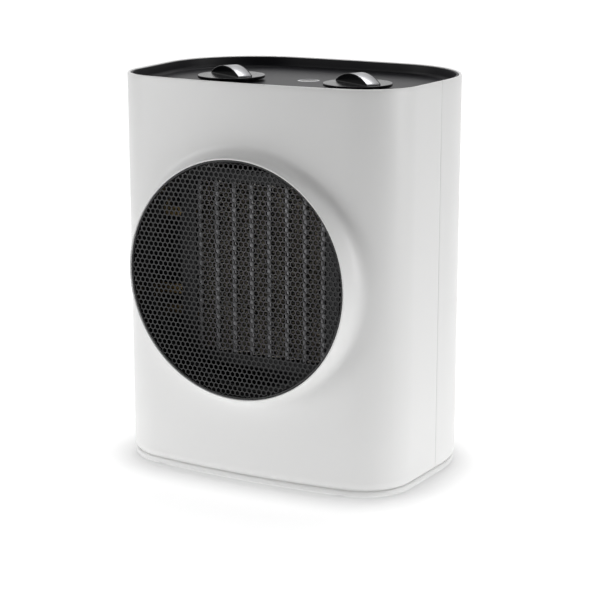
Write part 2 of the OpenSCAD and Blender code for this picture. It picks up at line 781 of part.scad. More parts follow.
duct_front = front_y + sleeve_in + 0.3;
tunnel_r = fan_r + tip_gap;
fan_mid = core_back + 19;
step_y = frame_back;
tunnel_back = fan_mid + 17;
mount_t = 2.5;
mount_back = tunnel_back + mount_t;
stack_y = mount_back + 9.5;
stack_back = stack_y + stack_d;
bracket_t = 1.5;
bracket_w = 16;
cup_r = 8;
bearing_r = 5.4;
motor_screw_x = stack_w / 2 - 5.5;
motor_screw_r = 1.7;
mount_screw_r = 1.5;
mount_ring_r = tunnel_r + duct_wall + 4;
shaft_front = fan_mid - 11.5;
shaft_back = stack_back + 12;

module ring_profile(r0, r1, y0, y1) { translate([r0, -y1]) square([r1 - r0, y1 - y0]); }
module at_mount_screws() {
    for (a = [45:90:315]) translate([(tunnel_r + duct_wall + 1) * cos(a), 0,
        axis_z + (tunnel_r + duct_wall + 1) * sin(a)]) children();
}
module air_duct() {
    color("#2b2b2e") difference() {
        union() {
            turned_y() ring_profile(duct_r, duct_r + duct_wall, duct_front, step_y + duct_wall);
            turned_y() ring_profile(tunnel_r, duct_r + duct_wall, step_y, step_y + duct_wall);
            turned_y() ring_profile(tunnel_r, tunnel_r + duct_wall, step_y, tunnel_back);
            at_mount_screws() rod_y(0, 0, 4, step_y + eps, tunnel_back);
            for (a = [45:90:315]) on_axis() rotate([0, a, 0])
                block(duct_r + 0.5, ear_r + 5, ear_y, ear_y + ear_t, -6, 6);
        }
        rod_y(0, axis_z, tunnel_r, step_y - 1, tunnel_back + 1);
        at_ears() rod_y(0, 0, duct_screw_r + 0.3, ear_y - 1, ear_y + ear_t + 1);
        at_mount_screws() rod_y(0, 0, mount_screw_r + slide_fit, tunnel_back - 12, tunnel_back + 1);
        for (z = tab_z) block(-duct_r - 10, -frame_w / 2, core_y - 0.6, core_y + tab_t + 0.8,
            axis_z + z - tab_w / 2 - 0.6, axis_z + z + tab_w / 2 + 0.6);
    }
}
module duct_screws() {
    color("silver") at_ears() {
        rod_y(0, 0, 3.2, ear_y + ear_t, ear_y + ear_t + 2.2);
        rod_y(0, 0, duct_screw_r - slide_fit, ear_y - 12, ear_y + ear_t + eps);
    }
}
module fan() {
    color("#303033") on_axis() difference() {
        union() {
            rod_y(0, 0, hub_r, fan_mid - 8, fan_mid + 8);
            intersection() {
                rod_y(0, 0, fan_r, fan_mid - 12, fan_mid + 12);
                for (i = [0:blade_count - 1]) rotate([0, i * 360 / blade_count, 0])
                    translate([hub_r - 2, fan_mid, 0]) rotate([blade_tilt, 0, 0])
                        translate([0, -blade_t / 2, -blade_chord / 2]) cube([fan_r, blade_t, blade_chord]);
            }
        }
        rod_y(0, 0, spindle_r + press, fan_mid - 20, fan_mid + 20);
        rod_y(0, 0, hub_r - 2.4, fan_mid - 2, fan_mid + 9);
    }
    color("#303033") on_axis() difference() {
        rod_y(0, 0, spindle_r + 3, fan_mid - 3, fan_mid + 8);
        rod_y(0, 0, spindle_r + press, fan_mid - 20, fan_mid + 20);
    }
}
module fan_clip() {
    color("silver") on_axis() difference() {
        rod_y(0, 0, 6, fan_mid - 9.2, fan_mid - 8.1);
        rod_y(0, 0, spindle_r + press, fan_mid - 11, fan_mid);
    }
}
module motor_shaft() { color("silver") rod_y(0, axis_z, spindle_r, shaft_front, shaft_back); }
module rotor() {
    color("gray") on_axis() difference() {
        rod_y(0, 0, rotor_r, stack_y - 0.5, stack_back + 0.5);
        rod_y(0, 0, spindle_r + press, stack_y - 2, stack_back + 2);
    }
}
// Stator: bored round the rotor, with a lower limb that carries the coil
stack_top = 22;
limb_top = -40;
limb_low = -54;
window_top = -17;
window_w = stack_w - 16;
module stator_core() {
    color("lightslategray") slab_y(stack_y, stack_back) difference() {
        translate([-stack_w / 2, limb_low]) square([stack_w, stack_top - limb_low]);
        circle(r = rotor_r + air_gap);
        translate([-window_w / 2, limb_top]) square([window_w, window_top - limb_top]);
        for (x = [-motor_screw_x, motor_screw_x]) translate([x, 0]) circle(r = motor_screw_r + 0.2);
    }
}
bobbin_half = window_w / 2 - 0.3;
coil_depth = 8;
module limb_sleeve(grow, x) {
    on_axis() block(-x, x, stack_y - grow, stack_back + grow, limb_low - grow, limb_top + grow);
}
module coil_bobbin() {
    color("ivory") difference() {
        union() {
            limb_sleeve(1.4, bobbin_half);
            for (s = [-1, 1]) translate([s * (bobbin_half - 0.6), 0, 0]) limb_sleeve(coil_depth + 1, 0.6);
        }
        limb_sleeve(0.2, bobbin_half + 1);
    }
}
module motor_coil() {
    color("peru") difference() {
        limb_sleeve(coil_depth, bobbin_half - 1.4);
        limb_sleeve(1.5, bobbin_half + 1);
    }
}
// A pressed strap with a cup for the bearing and two legs that stand on the core
module bearing_bracket(plate_y, leg_y, cup_y) {
    y0 = min(plate_y, leg_y);
    y1 = max(plate_y + bracket_t, leg_y);
    on_axis() difference() {
        union() {
            block(-motor_screw_x - 5, motor_screw_x + 5, plate_y, plate_y + bracket_t,
                -bracket_w / 2, bracket_w / 2);
            for (x = [-motor_screw_x, motor_screw_x]) rod_y(x, 0, 4, y0, y1);
            rod_y(0, 0, cup_r, min(plate_y, cup_y), max(plate_y + bracket_t, cup_y));
        }
        rod_y(0, 0, bearing_r + press, y0 - 20, y1 + 20);
        for (x = [-motor_screw_x, motor_screw_x]) rod_y(x, 0, motor_screw_r + 0.2, y0 - 1, y1 + 1);
    }
}
front_plate_y = mount_back;
rear_plate_y = stack_back + 7;
bearing_l = 6;
module front_bracket() {
    color("silver") bearing_bracket(front_plate_y, stack_y, front_plate_y + bearing_l);
}
module rear_bracket() {
    color("silver") bearing_bracket(rear_plate_y, stack_back, rear_plate_y + bracket_t - bearing_l);
}
module bearing(y0) {
    on_axis() difference() {
        rod_y(0, 0, bearing_r, y0, y0 + bearing_l);
        rod_y(0, 0, spindle_r + slide_fit, y0 - 1, y0 + bearing_l + 1);
    }
}
module motor_bearings() {
    color("darkgoldenrod") {
        bearing(front_plate_y);
        bearing(rear_plate_y + bracket_t - bearing_l);
    }
}
module motor_mount() {
    color("silver") slab_y(tunnel_back, mount_back) difference() {
        union() {
            difference() {
                circle(r = mount_ring_r);
                circle(r = tunnel_r - 1);
            }
            for (a = [0, 90]) rotate(a + 45) square([2 * tunnel_r, 12], center = true);
            circle(r = motor_screw_x + 6);
        }
        circle(r = cup_r + 1);
        for (x = [-motor_screw_x, motor_screw_x]) translate([x, 0]) circle(r = motor_screw_r + 0.2);
        for (a = [45:90:315]) rotate(a) translate([tunnel_r + duct_wall + 1, 0])
            circle(r = mount_screw_r + 0.2);
    }
}
module mount_screws() {
    color("silver") at_mount_screws() {
        rod_y(0, 0, 2.9, mount_back, mount_back + 2);
        rod_y(0, 0, mount_screw_r, tunnel_back - 10, mount_back + eps);
    }
}
motor_end = rear_plate_y + bracket_t;
module motor_screws() {
    color("silver") on_axis() for (x = [-motor_screw_x, motor_screw_x]) {
        rod_y(x, 0, 3, tunnel_back - 2.2, tunnel_back);
        rod_y(x, 0, motor_screw_r, tunnel_back - eps, motor_end + 4);
    }
}
module motor_nuts() {
    color("silver") slab_y(motor_end, motor_end + 2.8)
        for (x = [-motor_screw_x, motor_screw_x]) translate([x, 0]) difference() {
            circle(r = 3.6, $fn = 6);
            circle(r = motor_screw_r + press);
        }
}

// ---- Tip-over switch and connections ----

module tip_switch() {
    color("#3a3a3c") translate([tip_x, tip_y, 0]) difference() {
        union() {
            block(-tip_w / 2, tip_w / 2, -tip_w / 2, tip_w / 2, plinth_top, tip_top_z);
            block(-tip_screw_x - 4, tip_screw_x + 4, -5, 5, plinth_top, plinth_top + 2);
        }
        rod_z(0, 0, tip_stem_r + 0.08, plinth_top - 1, plinth_top + 5);
        rod_z(0, 0, tip_head_r + 0.2, plinth_top + tip_floor, tip_top_z - 5);
        for (x = [-tip_screw_x, tip_screw_x]) rod_z(x, 0, 1.6, plinth_top - 1, plinth_top + 3);
    }
}
tip_head_z = plinth_top + tip_floor + tip_travel + 0.2;
tip_head_h = 1.8;
module tip_plunger() {
    color("ivory") translate([tip_x, tip_y, 0]) {
        rod_z(0, 0, tip_stem_r, 0.2, tip_head_z + eps);
        rod_z(0, 0, tip_head_r, tip_head_z, tip_head_z + tip_head_h);
    }
}
spring_z = tip_head_z + tip_head_h + 0.05;
spring_top = tip_top_z - 5.05;
spring_wire = 0.45;
spring_turns = 4;
module tip_spring() {
    coil = [for (i = [0:12 * spring_turns]) [3.8 * cos(30 * i), 3.8 * sin(30 * i),
        spring_wire + (spring_top - spring_z - 2 * spring_wire) * i / (12 * spring_turns)]];
    color("silver") translate([tip_x, tip_y, spring_z]) tube(coil, spring_wire, 6);
}
module terminal_block() {
    color("ivory") translate([block_x, block_y, plinth_top]) difference() {
        block(-block_l / 2, block_l / 2, -block_w / 2, block_w / 2, 0, block_h);
        for (x = [-12, 0, 12]) {
            rod_z(x, 0, 2.6, 5, block_h + 1);
            rod_y(x, 6, 1.9, -block_w / 2 - 1, block_w / 2 + 1);
        }
    }
}
module terminal_screws() {
    color("gold") translate([block_x, block_y, plinth_top]) for (x = [-12, 0, 12])
        difference() {
            rod_z(x, 0, 2.5, 8.2, block_h - 1);
            block(x - 3, x + 3, -0.4, 0.4, block_h - 2, block_h);
        }
}

// Leads: each is a round tube swept along hand-placed points
lead_r = 1.1;
lead_side_x = body_w / 2 - 14;
module lead(p) { tube(p, lead_r, 6); }
// A bend of four points rounds each corner of a route given by its corners
function corner_bend(a, c, b) = [for (k = [0:3]) let (s = k / 3)
    (1 - s) * (1 - s) * a + 2 * s * (1 - s) * c + s * s * b];
function rounded(c, r) = concat([c[0]], [for (i = [1:len(c) - 2])
    each corner_bend(c[i] + unit(c[i - 1] - c[i]) * r, c[i], c[i] + unit(c[i + 1] - c[i]) * r)],
    [c[len(c) - 1]]);

// Ends of the leads: under the switch tabs, under the thermostat, at the block, at the core's tabs
lead_gap = 0.3;
sel = [-knob_x, knob_y, cover_top - cover_h - tab_l - lead_gap];
stat = [knob_x, knob_y, strip_z - lead_gap];
blk = [block_x, block_y, plinth_top + 6];
blk_out = [0, block_w / 2 + lead_gap, 0];
tab_end = [-tab_out - lead_gap, core_y + 0.5, axis_z];
run_z = sel[2] - 12;
module inner_leads() {
    color("royalblue") {
        lead(rounded([blk + blk_out + [-12, 0, 0], [block_x - 12, 44, blk[2]], [-80, 44, 22],
            [-lead_side_x, 28, 60], [-lead_side_x, 24, run_z - 10], sel + [-9, 8, -12],
            sel + [-9, 8, 0]], 4));
        lead(rounded([tab_end + [0, 0, tab_z[0]], tab_end + [-6, 0, tab_z[0]],
            [-lead_side_x, -20, axis_z + 46], [-lead_side_x, -8, run_z - 6], sel + [-9, -8, -12],
            sel + [-9, -8, 0]], 3));
        lead(rounded([tab_end + [0, 0, tab_z[1]], tab_end + [-6, 0, tab_z[1]],
            [-lead_side_x, -12, 90], [-84, 10, 26], [block_x - 12, 12, blk[2]],
            blk - blk_out + [-12, 0, 0]], 3));
        lead(rounded([stat + [stat_post_x, 0, -2.4], stat + [stat_post_x, 0, -16],
            [lead_side_x, 20, run_z - 8], [lead_side_x, 26, 50], [80, 42, 24],
            [block_x + 12, 44, blk[2]], blk + blk_out + [12, 0, 0]], 4));
        lead(rounded([[8, stack_y + 10, axis_z + limb_low - coil_depth - lead_gap], [8, stack_y + 10, 44],
            [block_x, 14, 30], [block_x, 12, blk[2]], blk - blk_out], 4));
        lead(rounded([[tip_x - tip_w / 2 - lead_gap, tip_y, 18], [2, tip_y, 18],
            [block_x + 12, 10, blk[2]], blk - blk_out + [12, 0, 0]], 4));
        lead(rounded([[-1.5, lamp_y, lamp_end], [-1.5, lamp_y, lamp_end - 8],
            sel + [9, 8, -12], sel + [9, 8, 0]], 3));
        lead(rounded([[1.5, lamp_y, lamp_end], [1.5, lamp_y, lamp_end - 8],
            stat + [-20, 0, -12], stat + [-20, 0, 0]], 3));
    }
}

front_shell();
rear_shell();
base_plate();
control_panel();
front_grille();
selector_knob();
selector_inlay();
thermostat_knob();
thermostat_inlay();
selector_switch();
switch_cover();
selector_cam();
switch_terminals();
thermostat_base();
thermostat_shaft();
bimetal_strip();
contact_arm();
switch_screws();
lamp_window();
pilot_lamp();
heater_frame();
heater_bars();
heater_fins();
ceramic_stones();
heater_terminals();
clamp_spring();
sensor_strap();
overheat_cutout();
thermal_fuse();
air_duct();
duct_screws();
fan();
fan_clip();
motor_shaft();
rotor();
stator_core();
coil_bobbin();
motor_coil();
front_bracket();
rear_bracket();
motor_bearings();
motor_mount();
mount_screws();
motor_screws();
motor_nuts();
tip_switch();
tip_plunger();
tip_spring();
terminal_block();
terminal_screws();
cord_gland();
inner_leads();
rubber_feet();
shell_screws();
base_screws();
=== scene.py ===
# %% [markdown]
# # A ceramic space heater, dressed for the studio
# The heater is already built as a working assembly in CAD. This lesson gives it its looks: smooth
# shells, a fine honeycomb grille, folded fins, glossy knobs, and a finish for every surface.
#
# Everything is in metres and in the frame of the CAD model, so a new piece goes exactly where
# the CAD piece is, and each new piece rides on the CAD body that it belongs to.

# %% Load the frame
import json
import math

import bmesh
import bpy
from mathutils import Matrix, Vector


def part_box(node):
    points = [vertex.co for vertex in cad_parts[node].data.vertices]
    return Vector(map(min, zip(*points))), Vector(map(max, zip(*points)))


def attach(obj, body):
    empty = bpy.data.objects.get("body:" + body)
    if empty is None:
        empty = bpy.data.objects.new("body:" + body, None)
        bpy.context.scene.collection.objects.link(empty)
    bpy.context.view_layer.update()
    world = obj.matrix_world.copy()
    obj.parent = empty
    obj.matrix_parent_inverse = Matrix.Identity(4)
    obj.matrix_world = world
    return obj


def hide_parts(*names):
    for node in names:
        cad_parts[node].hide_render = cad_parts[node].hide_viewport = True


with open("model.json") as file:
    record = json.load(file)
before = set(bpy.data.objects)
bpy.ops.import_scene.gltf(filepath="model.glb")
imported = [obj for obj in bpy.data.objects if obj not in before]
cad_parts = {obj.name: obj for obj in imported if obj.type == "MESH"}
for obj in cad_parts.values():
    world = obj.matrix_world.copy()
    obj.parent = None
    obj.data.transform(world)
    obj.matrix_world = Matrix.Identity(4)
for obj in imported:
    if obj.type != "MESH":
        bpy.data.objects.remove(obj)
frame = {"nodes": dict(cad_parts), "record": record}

MM = 0.001
scene = bpy.context.scene
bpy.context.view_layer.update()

# %% [markdown]
# ## The camera
# A product is best shown through a long lens, so that upright edges stay nearly parallel. Here
# the camera stands well over a metre away, to the right of the heater and a little above it.
# The camera is described by where it aims, how far it is turned and raised, and how far off it is.

# %% Camera
aim = Vector((2.5, 1.3, 103.2)) * MM
turned_right = math.radians(28.5)
raised = math.radians(13.76)
camera_distance = 1.171
away = Vector((math.sin(turned_right) * math.cos(raised),
               -math.cos(turned_right) * math.cos(raised),
               math.sin(raised)))

camera = bpy.data.objects.new("Camera", bpy.data.cameras.new("Camera"))
camera.data.sensor_width = 36
camera.data.lens = 109.2
camera.location = aim + away * camera_distance
camera.rotation_euler = (-away).to_track_quat("-Z", "Y").to_euler()
scene.collection.objects.link(camera)
scene.camera = camera
print("Camera at", [round(v, 3) for v in camera.location])

# %% [markdown]
# ## Small tools for node trees
# Shader trees and geometry trees are wired in the same way, so the same tools serve both. `add`
# adds a node, sets its options and fills each of its inputs with a plain value or with a wire. It
# gives back a wire from the node's first output; `wire["Name"]` is another output of that node.
#
# Sums make trees long, because each step is a Math node of its own. So a wire can be used in a
# plain sum: `a * 2 + b` adds a Multiply and an Add node, and gives back a wire from the last.

# %% Wires and nodes
class Wire:
    """An output of a node, for use as an input or in a sum."""

    def __init__(self, socket):
        self.socket = socket

    def __getitem__(self, output):
        return Wire(self.socket.node.outputs[output])


def put(tree, source, socket):
    """Feeds a socket with a wire, or sets its value."""
    if isinstance(source, Wire):
        tree.links.new(source.socket, socket)
    else:
        socket.default_value = source


def add(tree, kind, inputs=None, **options):
    """Adds a node by the last part of its type's name, and gives back its first output."""
    own = tree.bl_idname.replace("Tree", kind)
    node = tree.nodes.new(own if hasattr(bpy.types, own) else "ShaderNode" + kind)
    for name, value in options.items():
        setattr(node, name, value)
    for socket, source in (inputs or {}).items():
        put(tree, source, node.inputs[socket])
    return Wire(node.outputs[0]) if node.outputs else None


# %% Sums with wires
def maths(operation, *values):
    """One step of arithmetic, in the tree that its wires belong to."""
    tree = next(value.socket.id_data for value in values if isinstance(value, Wire))
    return add(tree, "Math", dict(enumerate(values)), operation=operation)


for sign, operation in (("add", "ADD"), ("sub", "SUBTRACT"), ("mul", "MULTIPLY"),
                        ("truediv", "DIVIDE"), ("mod", "MODULO"), ("pow", "POWER")):
    setattr(Wire, f"__{sign}__", lambda a, b, step=operation: maths(step, a, b))
    setattr(Wire, f"__r{sign}__", lambda a, b, step=operation: maths(step, b, a))


def vector(tree, x=0.0, y=0.0, z=0.0):
    return add(tree, "CombineXYZ", {"X": x, "Y": y, "Z": z})


def scaled(tree, given_vector, factor):
    return add(tree, "VectorMath", {0: given_vector, "Scale": factor}, operation="SCALE")


def remap(tree, value, start, end, low=0.0, high=1.0, **options):
    """Maps start to low and end to high, and stops there."""
    return add(tree, "MapRange", {"Value": value, "From Min": start, "From Max": end,
                                  "To Min": low, "To Max": high}, **options)


# %% Node groups
def start_group(name, kind, inputs, outputs):
    """A new node group with named sockets, and the wires from its inputs."""
    tree = bpy.data.node_groups.new(name, kind)
    for side, sockets in (("INPUT", inputs), ("OUTPUT", outputs)):
        for label, socket in sockets.items():
            tree.interface.new_socket(label.replace("_", " "), in_out=side,
                                      socket_type="NodeSocket" + socket)
    tree.nodes.new("NodeGroupOutput")
    given = tree.nodes.new("NodeGroupInput").outputs
    return tree, {socket.name: Wire(socket) for socket in given}


def end_group(tree, **wires):
    """Feeds the outputs of a group."""
    for label, wire in wires.items():
        put(tree, wire, tree.nodes["Group Output"].inputs[label])
    return tree


# %% [markdown]
# ## Shared surface effects
# No moulded or rolled surface is perfectly even. Moulded plastic has a faint grain, its gloss
# wanders a little from place to place, and dust settles on what faces up. Rolled or drawn metal
# has fine lines along one direction. Image textures could hold all this, but they would need a
# flattened map for each piece. Noise that is worked out from the place in space needs none.
#
# Each effect is a node group, built once. A material places the group and gives it its own values.

# %% Moulded surface
def start_surface(name, **inputs):
    return start_group(name, "ShaderNodeTree", inputs,
                       {"Colour": "Color", "Roughness": "Float", "Normal": "Vector"})


def noise(tree, place, scale, detail, roughness=0.5):
    return add(tree, "TexNoise", {"Vector": place, "Scale": scale, "Detail": detail,
                                  "Roughness": roughness})


def moulded_surface():
    tree, given = start_surface(
        "Moulded surface", Colour="Color", Colour_Drift="Float", Grain_Size="Float",
        Grain_Height="Float", Gloss_Loss="Float", Gloss_Drift="Float", Dust="Float")
    place = add(tree, "TexCoord")["Object"]
    fine = noise(tree, place, 1.0 / given["Grain Size"], 2.0, 0.55)
    wander = noise(tree, place, 22.0, 3.0) - 0.5
    upward = add(tree, "SeparateXYZ", {0: add(tree, "NewGeometry")["Normal"]})["Z"]
    patchy = remap(tree, noise(tree, place, 420.0, 4.0), 0.45, 0.75)
    dust = remap(tree, upward, 0.5, 1.0) * patchy * given["Dust"]
    drifted = scaled(tree, given["Colour"], wander * given["Colour Drift"] + 1.0)
    # a Mix node has sockets for each kind of data: 6 and 7 are its colours, 2 is their mixture
    dusted = add(tree, "Mix", {0: dust, 6: drifted, 7: (0.45, 0.44, 0.42, 1)}, data_type="RGBA")
    uneven = wander * given["Gloss Drift"] + given["Gloss Loss"]
    grain = add(tree, "Bump", {"Height": fine, "Distance": given["Grain Height"], "Strength": 1.0})
    return end_group(tree, Colour=dusted[2], Roughness=dust * 0.4 + uneven, Normal=grain)


# %% Drawn metal
def drawn_metal():
    tree, given = start_surface(
        "Drawn metal", Colour="Color", Turn="Float", Line_Width="Float", Line_Length="Float",
        Line_Depth="Float", Gloss_Loss="Float", Tarnish="Float")
    place = add(tree, "TexCoord")["Object"]
    turned_place = add(tree, "Mapping", {
        "Vector": place, "Rotation": vector(tree, 0.0, 0.0, given["Turn"])})
    across = 1.0 / given["Line Width"]
    squeeze = vector(tree, 1.0 / given["Line Length"], across, across)
    stretched = add(tree, "VectorMath", {0: turned_place, 1: squeeze}, operation="MULTIPLY")
    lines = noise(tree, stretched, 1.0, 3.0)
    tarnish = remap(tree, noise(tree, place, 60.0, 4.0), 0.4, 0.8) * given["Tarnish"]
    shade = ((lines - 0.5) * 0.25 + 1.0) * (1.0 - tarnish)
    rough = lines * 0.14 + given["Gloss Loss"]
    bump = add(tree, "Bump", {"Height": lines, "Distance": given["Line Depth"], "Strength": 1.0})
    return end_group(tree, Colour=scaled(tree, given["Colour"], shade),
                     Roughness=tarnish * 0.3 + rough, Normal=bump)


MOULDED, DRAWN = moulded_surface(), drawn_metal()
for group in (MOULDED, DRAWN):
    print("Group", group.name, "with", len(group.nodes), "nodes")

# %% [markdown]
# ## The finishes
# One function makes a plastic, one makes a metal. Both end in a Principled shader that sits in
# the material itself; the group only hands it colour, roughness and a bumped normal. Numbers that
# are the same all over the surface, such as metallic or coat, are set on the shader's own sockets.

# %% Finish makers
def even(name, colour, **values):
    """A material that is the same all over; values go to the shader's own sockets."""
    material = bpy.data.materials.new(name)
    material.use_nodes = True
    material.diffuse_color = (*colour, 1)
    shader = material.node_tree.nodes["Principled BSDF"]
    for label, value in {"Base_Color": (*colour, 1), **values}.items():
        shader.inputs[label.replace("_", " ")].default_value = value
    return material


def uneven(name, group, colour, given, values):
    """A material whose shader is fed by one of the surface groups."""
    material = even(name, colour, **values)
    tree = material.node_tree
    surface = add(tree, "Group", {"Colour": (*colour, 1), **given}, node_tree=group)
    for label in ("Colour", "Roughness", "Normal"):
        socket = label.replace("Colour", "Base Color")
        put(tree, surface[label], tree.nodes["Principled BSDF"].inputs[socket])
    return material


def plastic(name, colour, gloss_loss, grain=0.5, height=0.004, drift=0.03, dust=0.0, **values):
    return uneven(name, MOULDED, colour, {
        "Colour Drift": drift, "Grain Size": grain * MM, "Grain Height": height * MM,
        "Gloss Loss": gloss_loss, "Gloss Drift": 0.12, "Dust": dust}, values)


def metal(name, colour, gloss_loss, line=0.12, length=6.0, turn=0.0, tarnish=0.15, depth=0.002):
    return uneven(name, DRAWN, colour, {
        "Turn": turn, "Line Width": line * MM, "Line Length": length * MM,
        "Line Depth": depth * MM, "Gloss Loss": gloss_loss, "Tarnish": tarnish}, {"Metallic": 1.0})


# %% [markdown]
# The visible plastics come first: the satin white of the shells, the smooth black of the panel,
# the deep gloss of the knobs. The finishes of the inner parts follow in one table, named by the
# record's own slots, because the motor and the switches show only through slots and cells.

# %% Finishes
knob_turn = math.radians(-30)  # the knobs stand turned, and the brushed lines of their strips too
FINISH = {
    "shell_white": plastic("Satin white plastic", (0.80, 0.80, 0.795), 0.38, 0.35, 0.0012, 0.012),
    "panel_black": plastic("Smooth black plastic", (0.010, 0.010, 0.012), 0.42, 0.3, 0.0015, 0.3,
                           dust=0.008, IOR=1.25),
    "knob_black": plastic("Glossy black plastic", (0.003, 0.003, 0.004), 0.18, 0.3, 0.0005, 0.2,
                          IOR=1.2),
    "grille_black": plastic("Black grille paint", (0.012, 0.012, 0.013), 0.40, 0.25, 0.003, 0.3,
                            IOR=1.4),
    "switch_plastic": plastic("Dark phenolic", (0.05, 0.05, 0.055), 0.55),
    "laminate": plastic("Brown laminate", (0.40, 0.27, 0.13), 0.6, 1.2, 0.01, 0.3),
    "nylon_ivory": plastic("Natural nylon", (0.72, 0.68, 0.58), 0.5),
    "steatite": plastic("Unglazed steatite", (0.74, 0.69, 0.60), 0.8, 0.3, 0.02, 0.1),
    "core_resin": plastic("Heat-proof black resin", (0.018, 0.018, 0.020), 0.5, 0.5, 0.01, 0.3),
    "heating_stone": plastic("Sintered ceramic", (0.16, 0.055, 0.035), 0.8, 0.3, 0.02, 0.4),
    "cutout_resin": plastic("Black phenolic", (0.03, 0.03, 0.034), 0.45),
    "fuse_body": plastic("Fuse ceramic", (0.55, 0.45, 0.30), 0.6, 0.4, 0.01, 0.1),
    "cable_pvc": plastic("Blue lead insulation", (0.03, 0.08, 0.38), 0.4, 0.6, 0.004),
    "soft_rubber": plastic("Dark rubber", (0.035, 0.035, 0.035), 0.75, 0.3, 0.01, 0.3, dust=0.1),
    "window_clear": plastic("Milky lens plastic", (0.70, 0.71, 0.72), 0.25, 0.4, 0.001),
    "inlay_silver": metal("Satin silver", (0.31, 0.31, 0.32), 0.32, 0.6, 30.0,
                          turn=-knob_turn, tarnish=0.05),
    "brass_contact": metal("Brass strip", (0.72, 0.52, 0.22), 0.25),
    "bright_steel": metal("Zinc plated steel", (0.60, 0.61, 0.62), 0.25),
    "aluminium_bar": metal("Bright aluminium", (0.28, 0.28, 0.29), 0.42, 0.15, 10.0,
                           tarnish=0.25),
    "aluminium_fin": metal("Heat-dulled aluminium", (0.80, 0.76, 0.70), 0.50, 0.2, 2.0,
                           tarnish=0.25),
    "electrical_steel": metal("Stacked steel", (0.28, 0.29, 0.31), 0.4, 0.5, 40.0, tarnish=0.3),
    "copper_wire": metal("Enamelled copper", (0.60, 0.26, 0.10), 0.25, 0.3, 20.0),
    "bronze_bearing": metal("Sintered bronze", (0.50, 0.33, 0.15), 0.45, 0.3, 0.3),
    "lamp_glass": even("Amber lamp glass", (0.9, 0.40, 0.10), Roughness=0.1,
                       Transmission_Weight=0.85),
}
print(len(FINISH), "finishes")

# %% [markdown]
# ## Dressing the CAD pieces
# The CAD pieces that keep their shape get their finish through their material slots. Their meshes
# are never touched. Pieces that are built again further on replace theirs.

# %% Finishes on the CAD pieces
for row in frame["record"]["subparts"]:
    mesh = frame["nodes"][row["node"]].data
    mesh.materials.clear()
    mesh.materials.append(FINISH[row["material_slot"]])

# %% [markdown]
# ## Tools for making meshes
# Most pieces here are shells whose wall follows the body's outline, or bodies of revolution. Both
# are a net of points joined by faces. `piece` turns such a net into an object: it merges doubled
# points, turns all faces outwards, and shades the mesh smooth except where it bends sharply.

# %% Piece helpers
def shade(mesh, sharp):
    """Shades smooth up to an angle."""
    mesh.shade_smooth()
    mesh.set_sharp_from_angle(angle=math.radians(sharp))


def tidy_mesh(mesh, sharp):
    """Merges doubles, turns faces outwards and shades smooth up to an angle."""
    work = bmesh.new()
    work.from_mesh(mesh)
    bmesh.ops.remove_doubles(work, verts=work.verts, dist=0.002 * MM)
    bmesh.ops.recalc_face_normals(work, faces=work.faces)
    work.to_mesh(mesh)
    work.free()
    shade(mesh, sharp)


def piece(name, points, faces, finish, sharp=35):
    """A mesh object from points and faces, linked to the scene."""
    mesh = bpy.data.meshes.new(name)
    mesh.from_pydata([tuple(p) for p in points], [], faces)
    tidy_mesh(mesh, sharp)
    mesh.materials.append(FINISH.get(finish, finish))
    made = bpy.data.objects.new(name, mesh)
    scene.collection.objects.link(made)
    return made


def settle(made, slot, body, *nodes):
    """Puts a finished piece on its body, hides the CAD nodes it stands for and prints them; the
    finish given as slot is not used.
    """
    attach(made, body)
    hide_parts(*nodes)
    print(f"{made.name}: {len(made.data.polygons)} faces, stands for {', '.join(nodes)}")


def join(made, *others):
    """Adds other pieces' meshes to a piece as loose parts of it."""
    work = bmesh.new()
    for one in (made, *others):
        work.from_mesh(one.data)
    work.to_mesh(made.data)
    work.free()
    for one in others:
        bpy.data.objects.remove(one)
    return made


# %% Nets of points
def spread(low, high, steps):
    return [low + (high - low) * i / steps for i in range(steps + 1)]


def strip(rows, closed=False):
    """Faces between neighbouring rows of a net, each row a list of point numbers."""
    faces = []
    for low, high in zip(rows, rows[1:]):
        count = len(low)
        for i in range(count if closed else count - 1):
            j = (i + 1) % count
            faces.append((low[i], low[j], high[j], high[i]))
    return faces


def net(rows, looped=False):
    """Points and faces of closed rows; the last row meets the first, or both ends are capped."""
    size = len(rows[0])
    numbers = [[i * size + k for k in range(size)] for i in range(len(rows))]
    caps = [] if looped else [tuple(numbers[0]), tuple(reversed(numbers[-1]))]
    last = numbers[:1] if looped else []
    return [p for row in rows for p in row], strip(numbers + last, closed=True) + caps


def turned(name, profile, finish, steps=48, centre=(0, 0, 0), axis="Z"):
    """A piece whose closed profile of (radius, height) is turned about an axis."""
    rows = []
    for k in range(steps):
        angle = 2 * math.pi * k / steps
        row = []
        for radius, height in profile:
            u, v = radius * math.cos(angle), radius * math.sin(angle)
            row.append(Vector(centre) + Vector((u, v, height) if axis == "Z" else (u, height, v)))
        rows.append(row)
    return piece(name, *net(rows, looped=True), finish)


# %% Rounded corners
def rounded_corner(corner, start, end, steps=4):
    """Points of a smooth bend from start to end that leans towards the corner."""
    bend = []
    for k in range(steps + 1):
        s = k / steps
        bend.append(tuple((1 - s) ** 2 * a + 2 * s * (1 - s) * c + s * s * b
                          for a, c, b in zip(start, corner, end)))
    return bend


def bend_at(x, z, before, after, steps=4):
    """A bend round the corner (x, z), from one offset in mm to another."""
    return rounded_corner((x, z), *((x + dx * MM, z + dz * MM) for dx, dz in (before, after)),
                          steps)


# %% [markdown]
# ## The outline of the body
# Seen from above, the heater is a bowed front, a nearly flat back and four round corners. Each
# stretch is an arc, and the arcs touch without a kink. The shells, the base and the panel all
# follow this outline at their own depth under the surface, so it is kept as a list of columns:
# a point on the surface, and the direction in which the wall faces there.

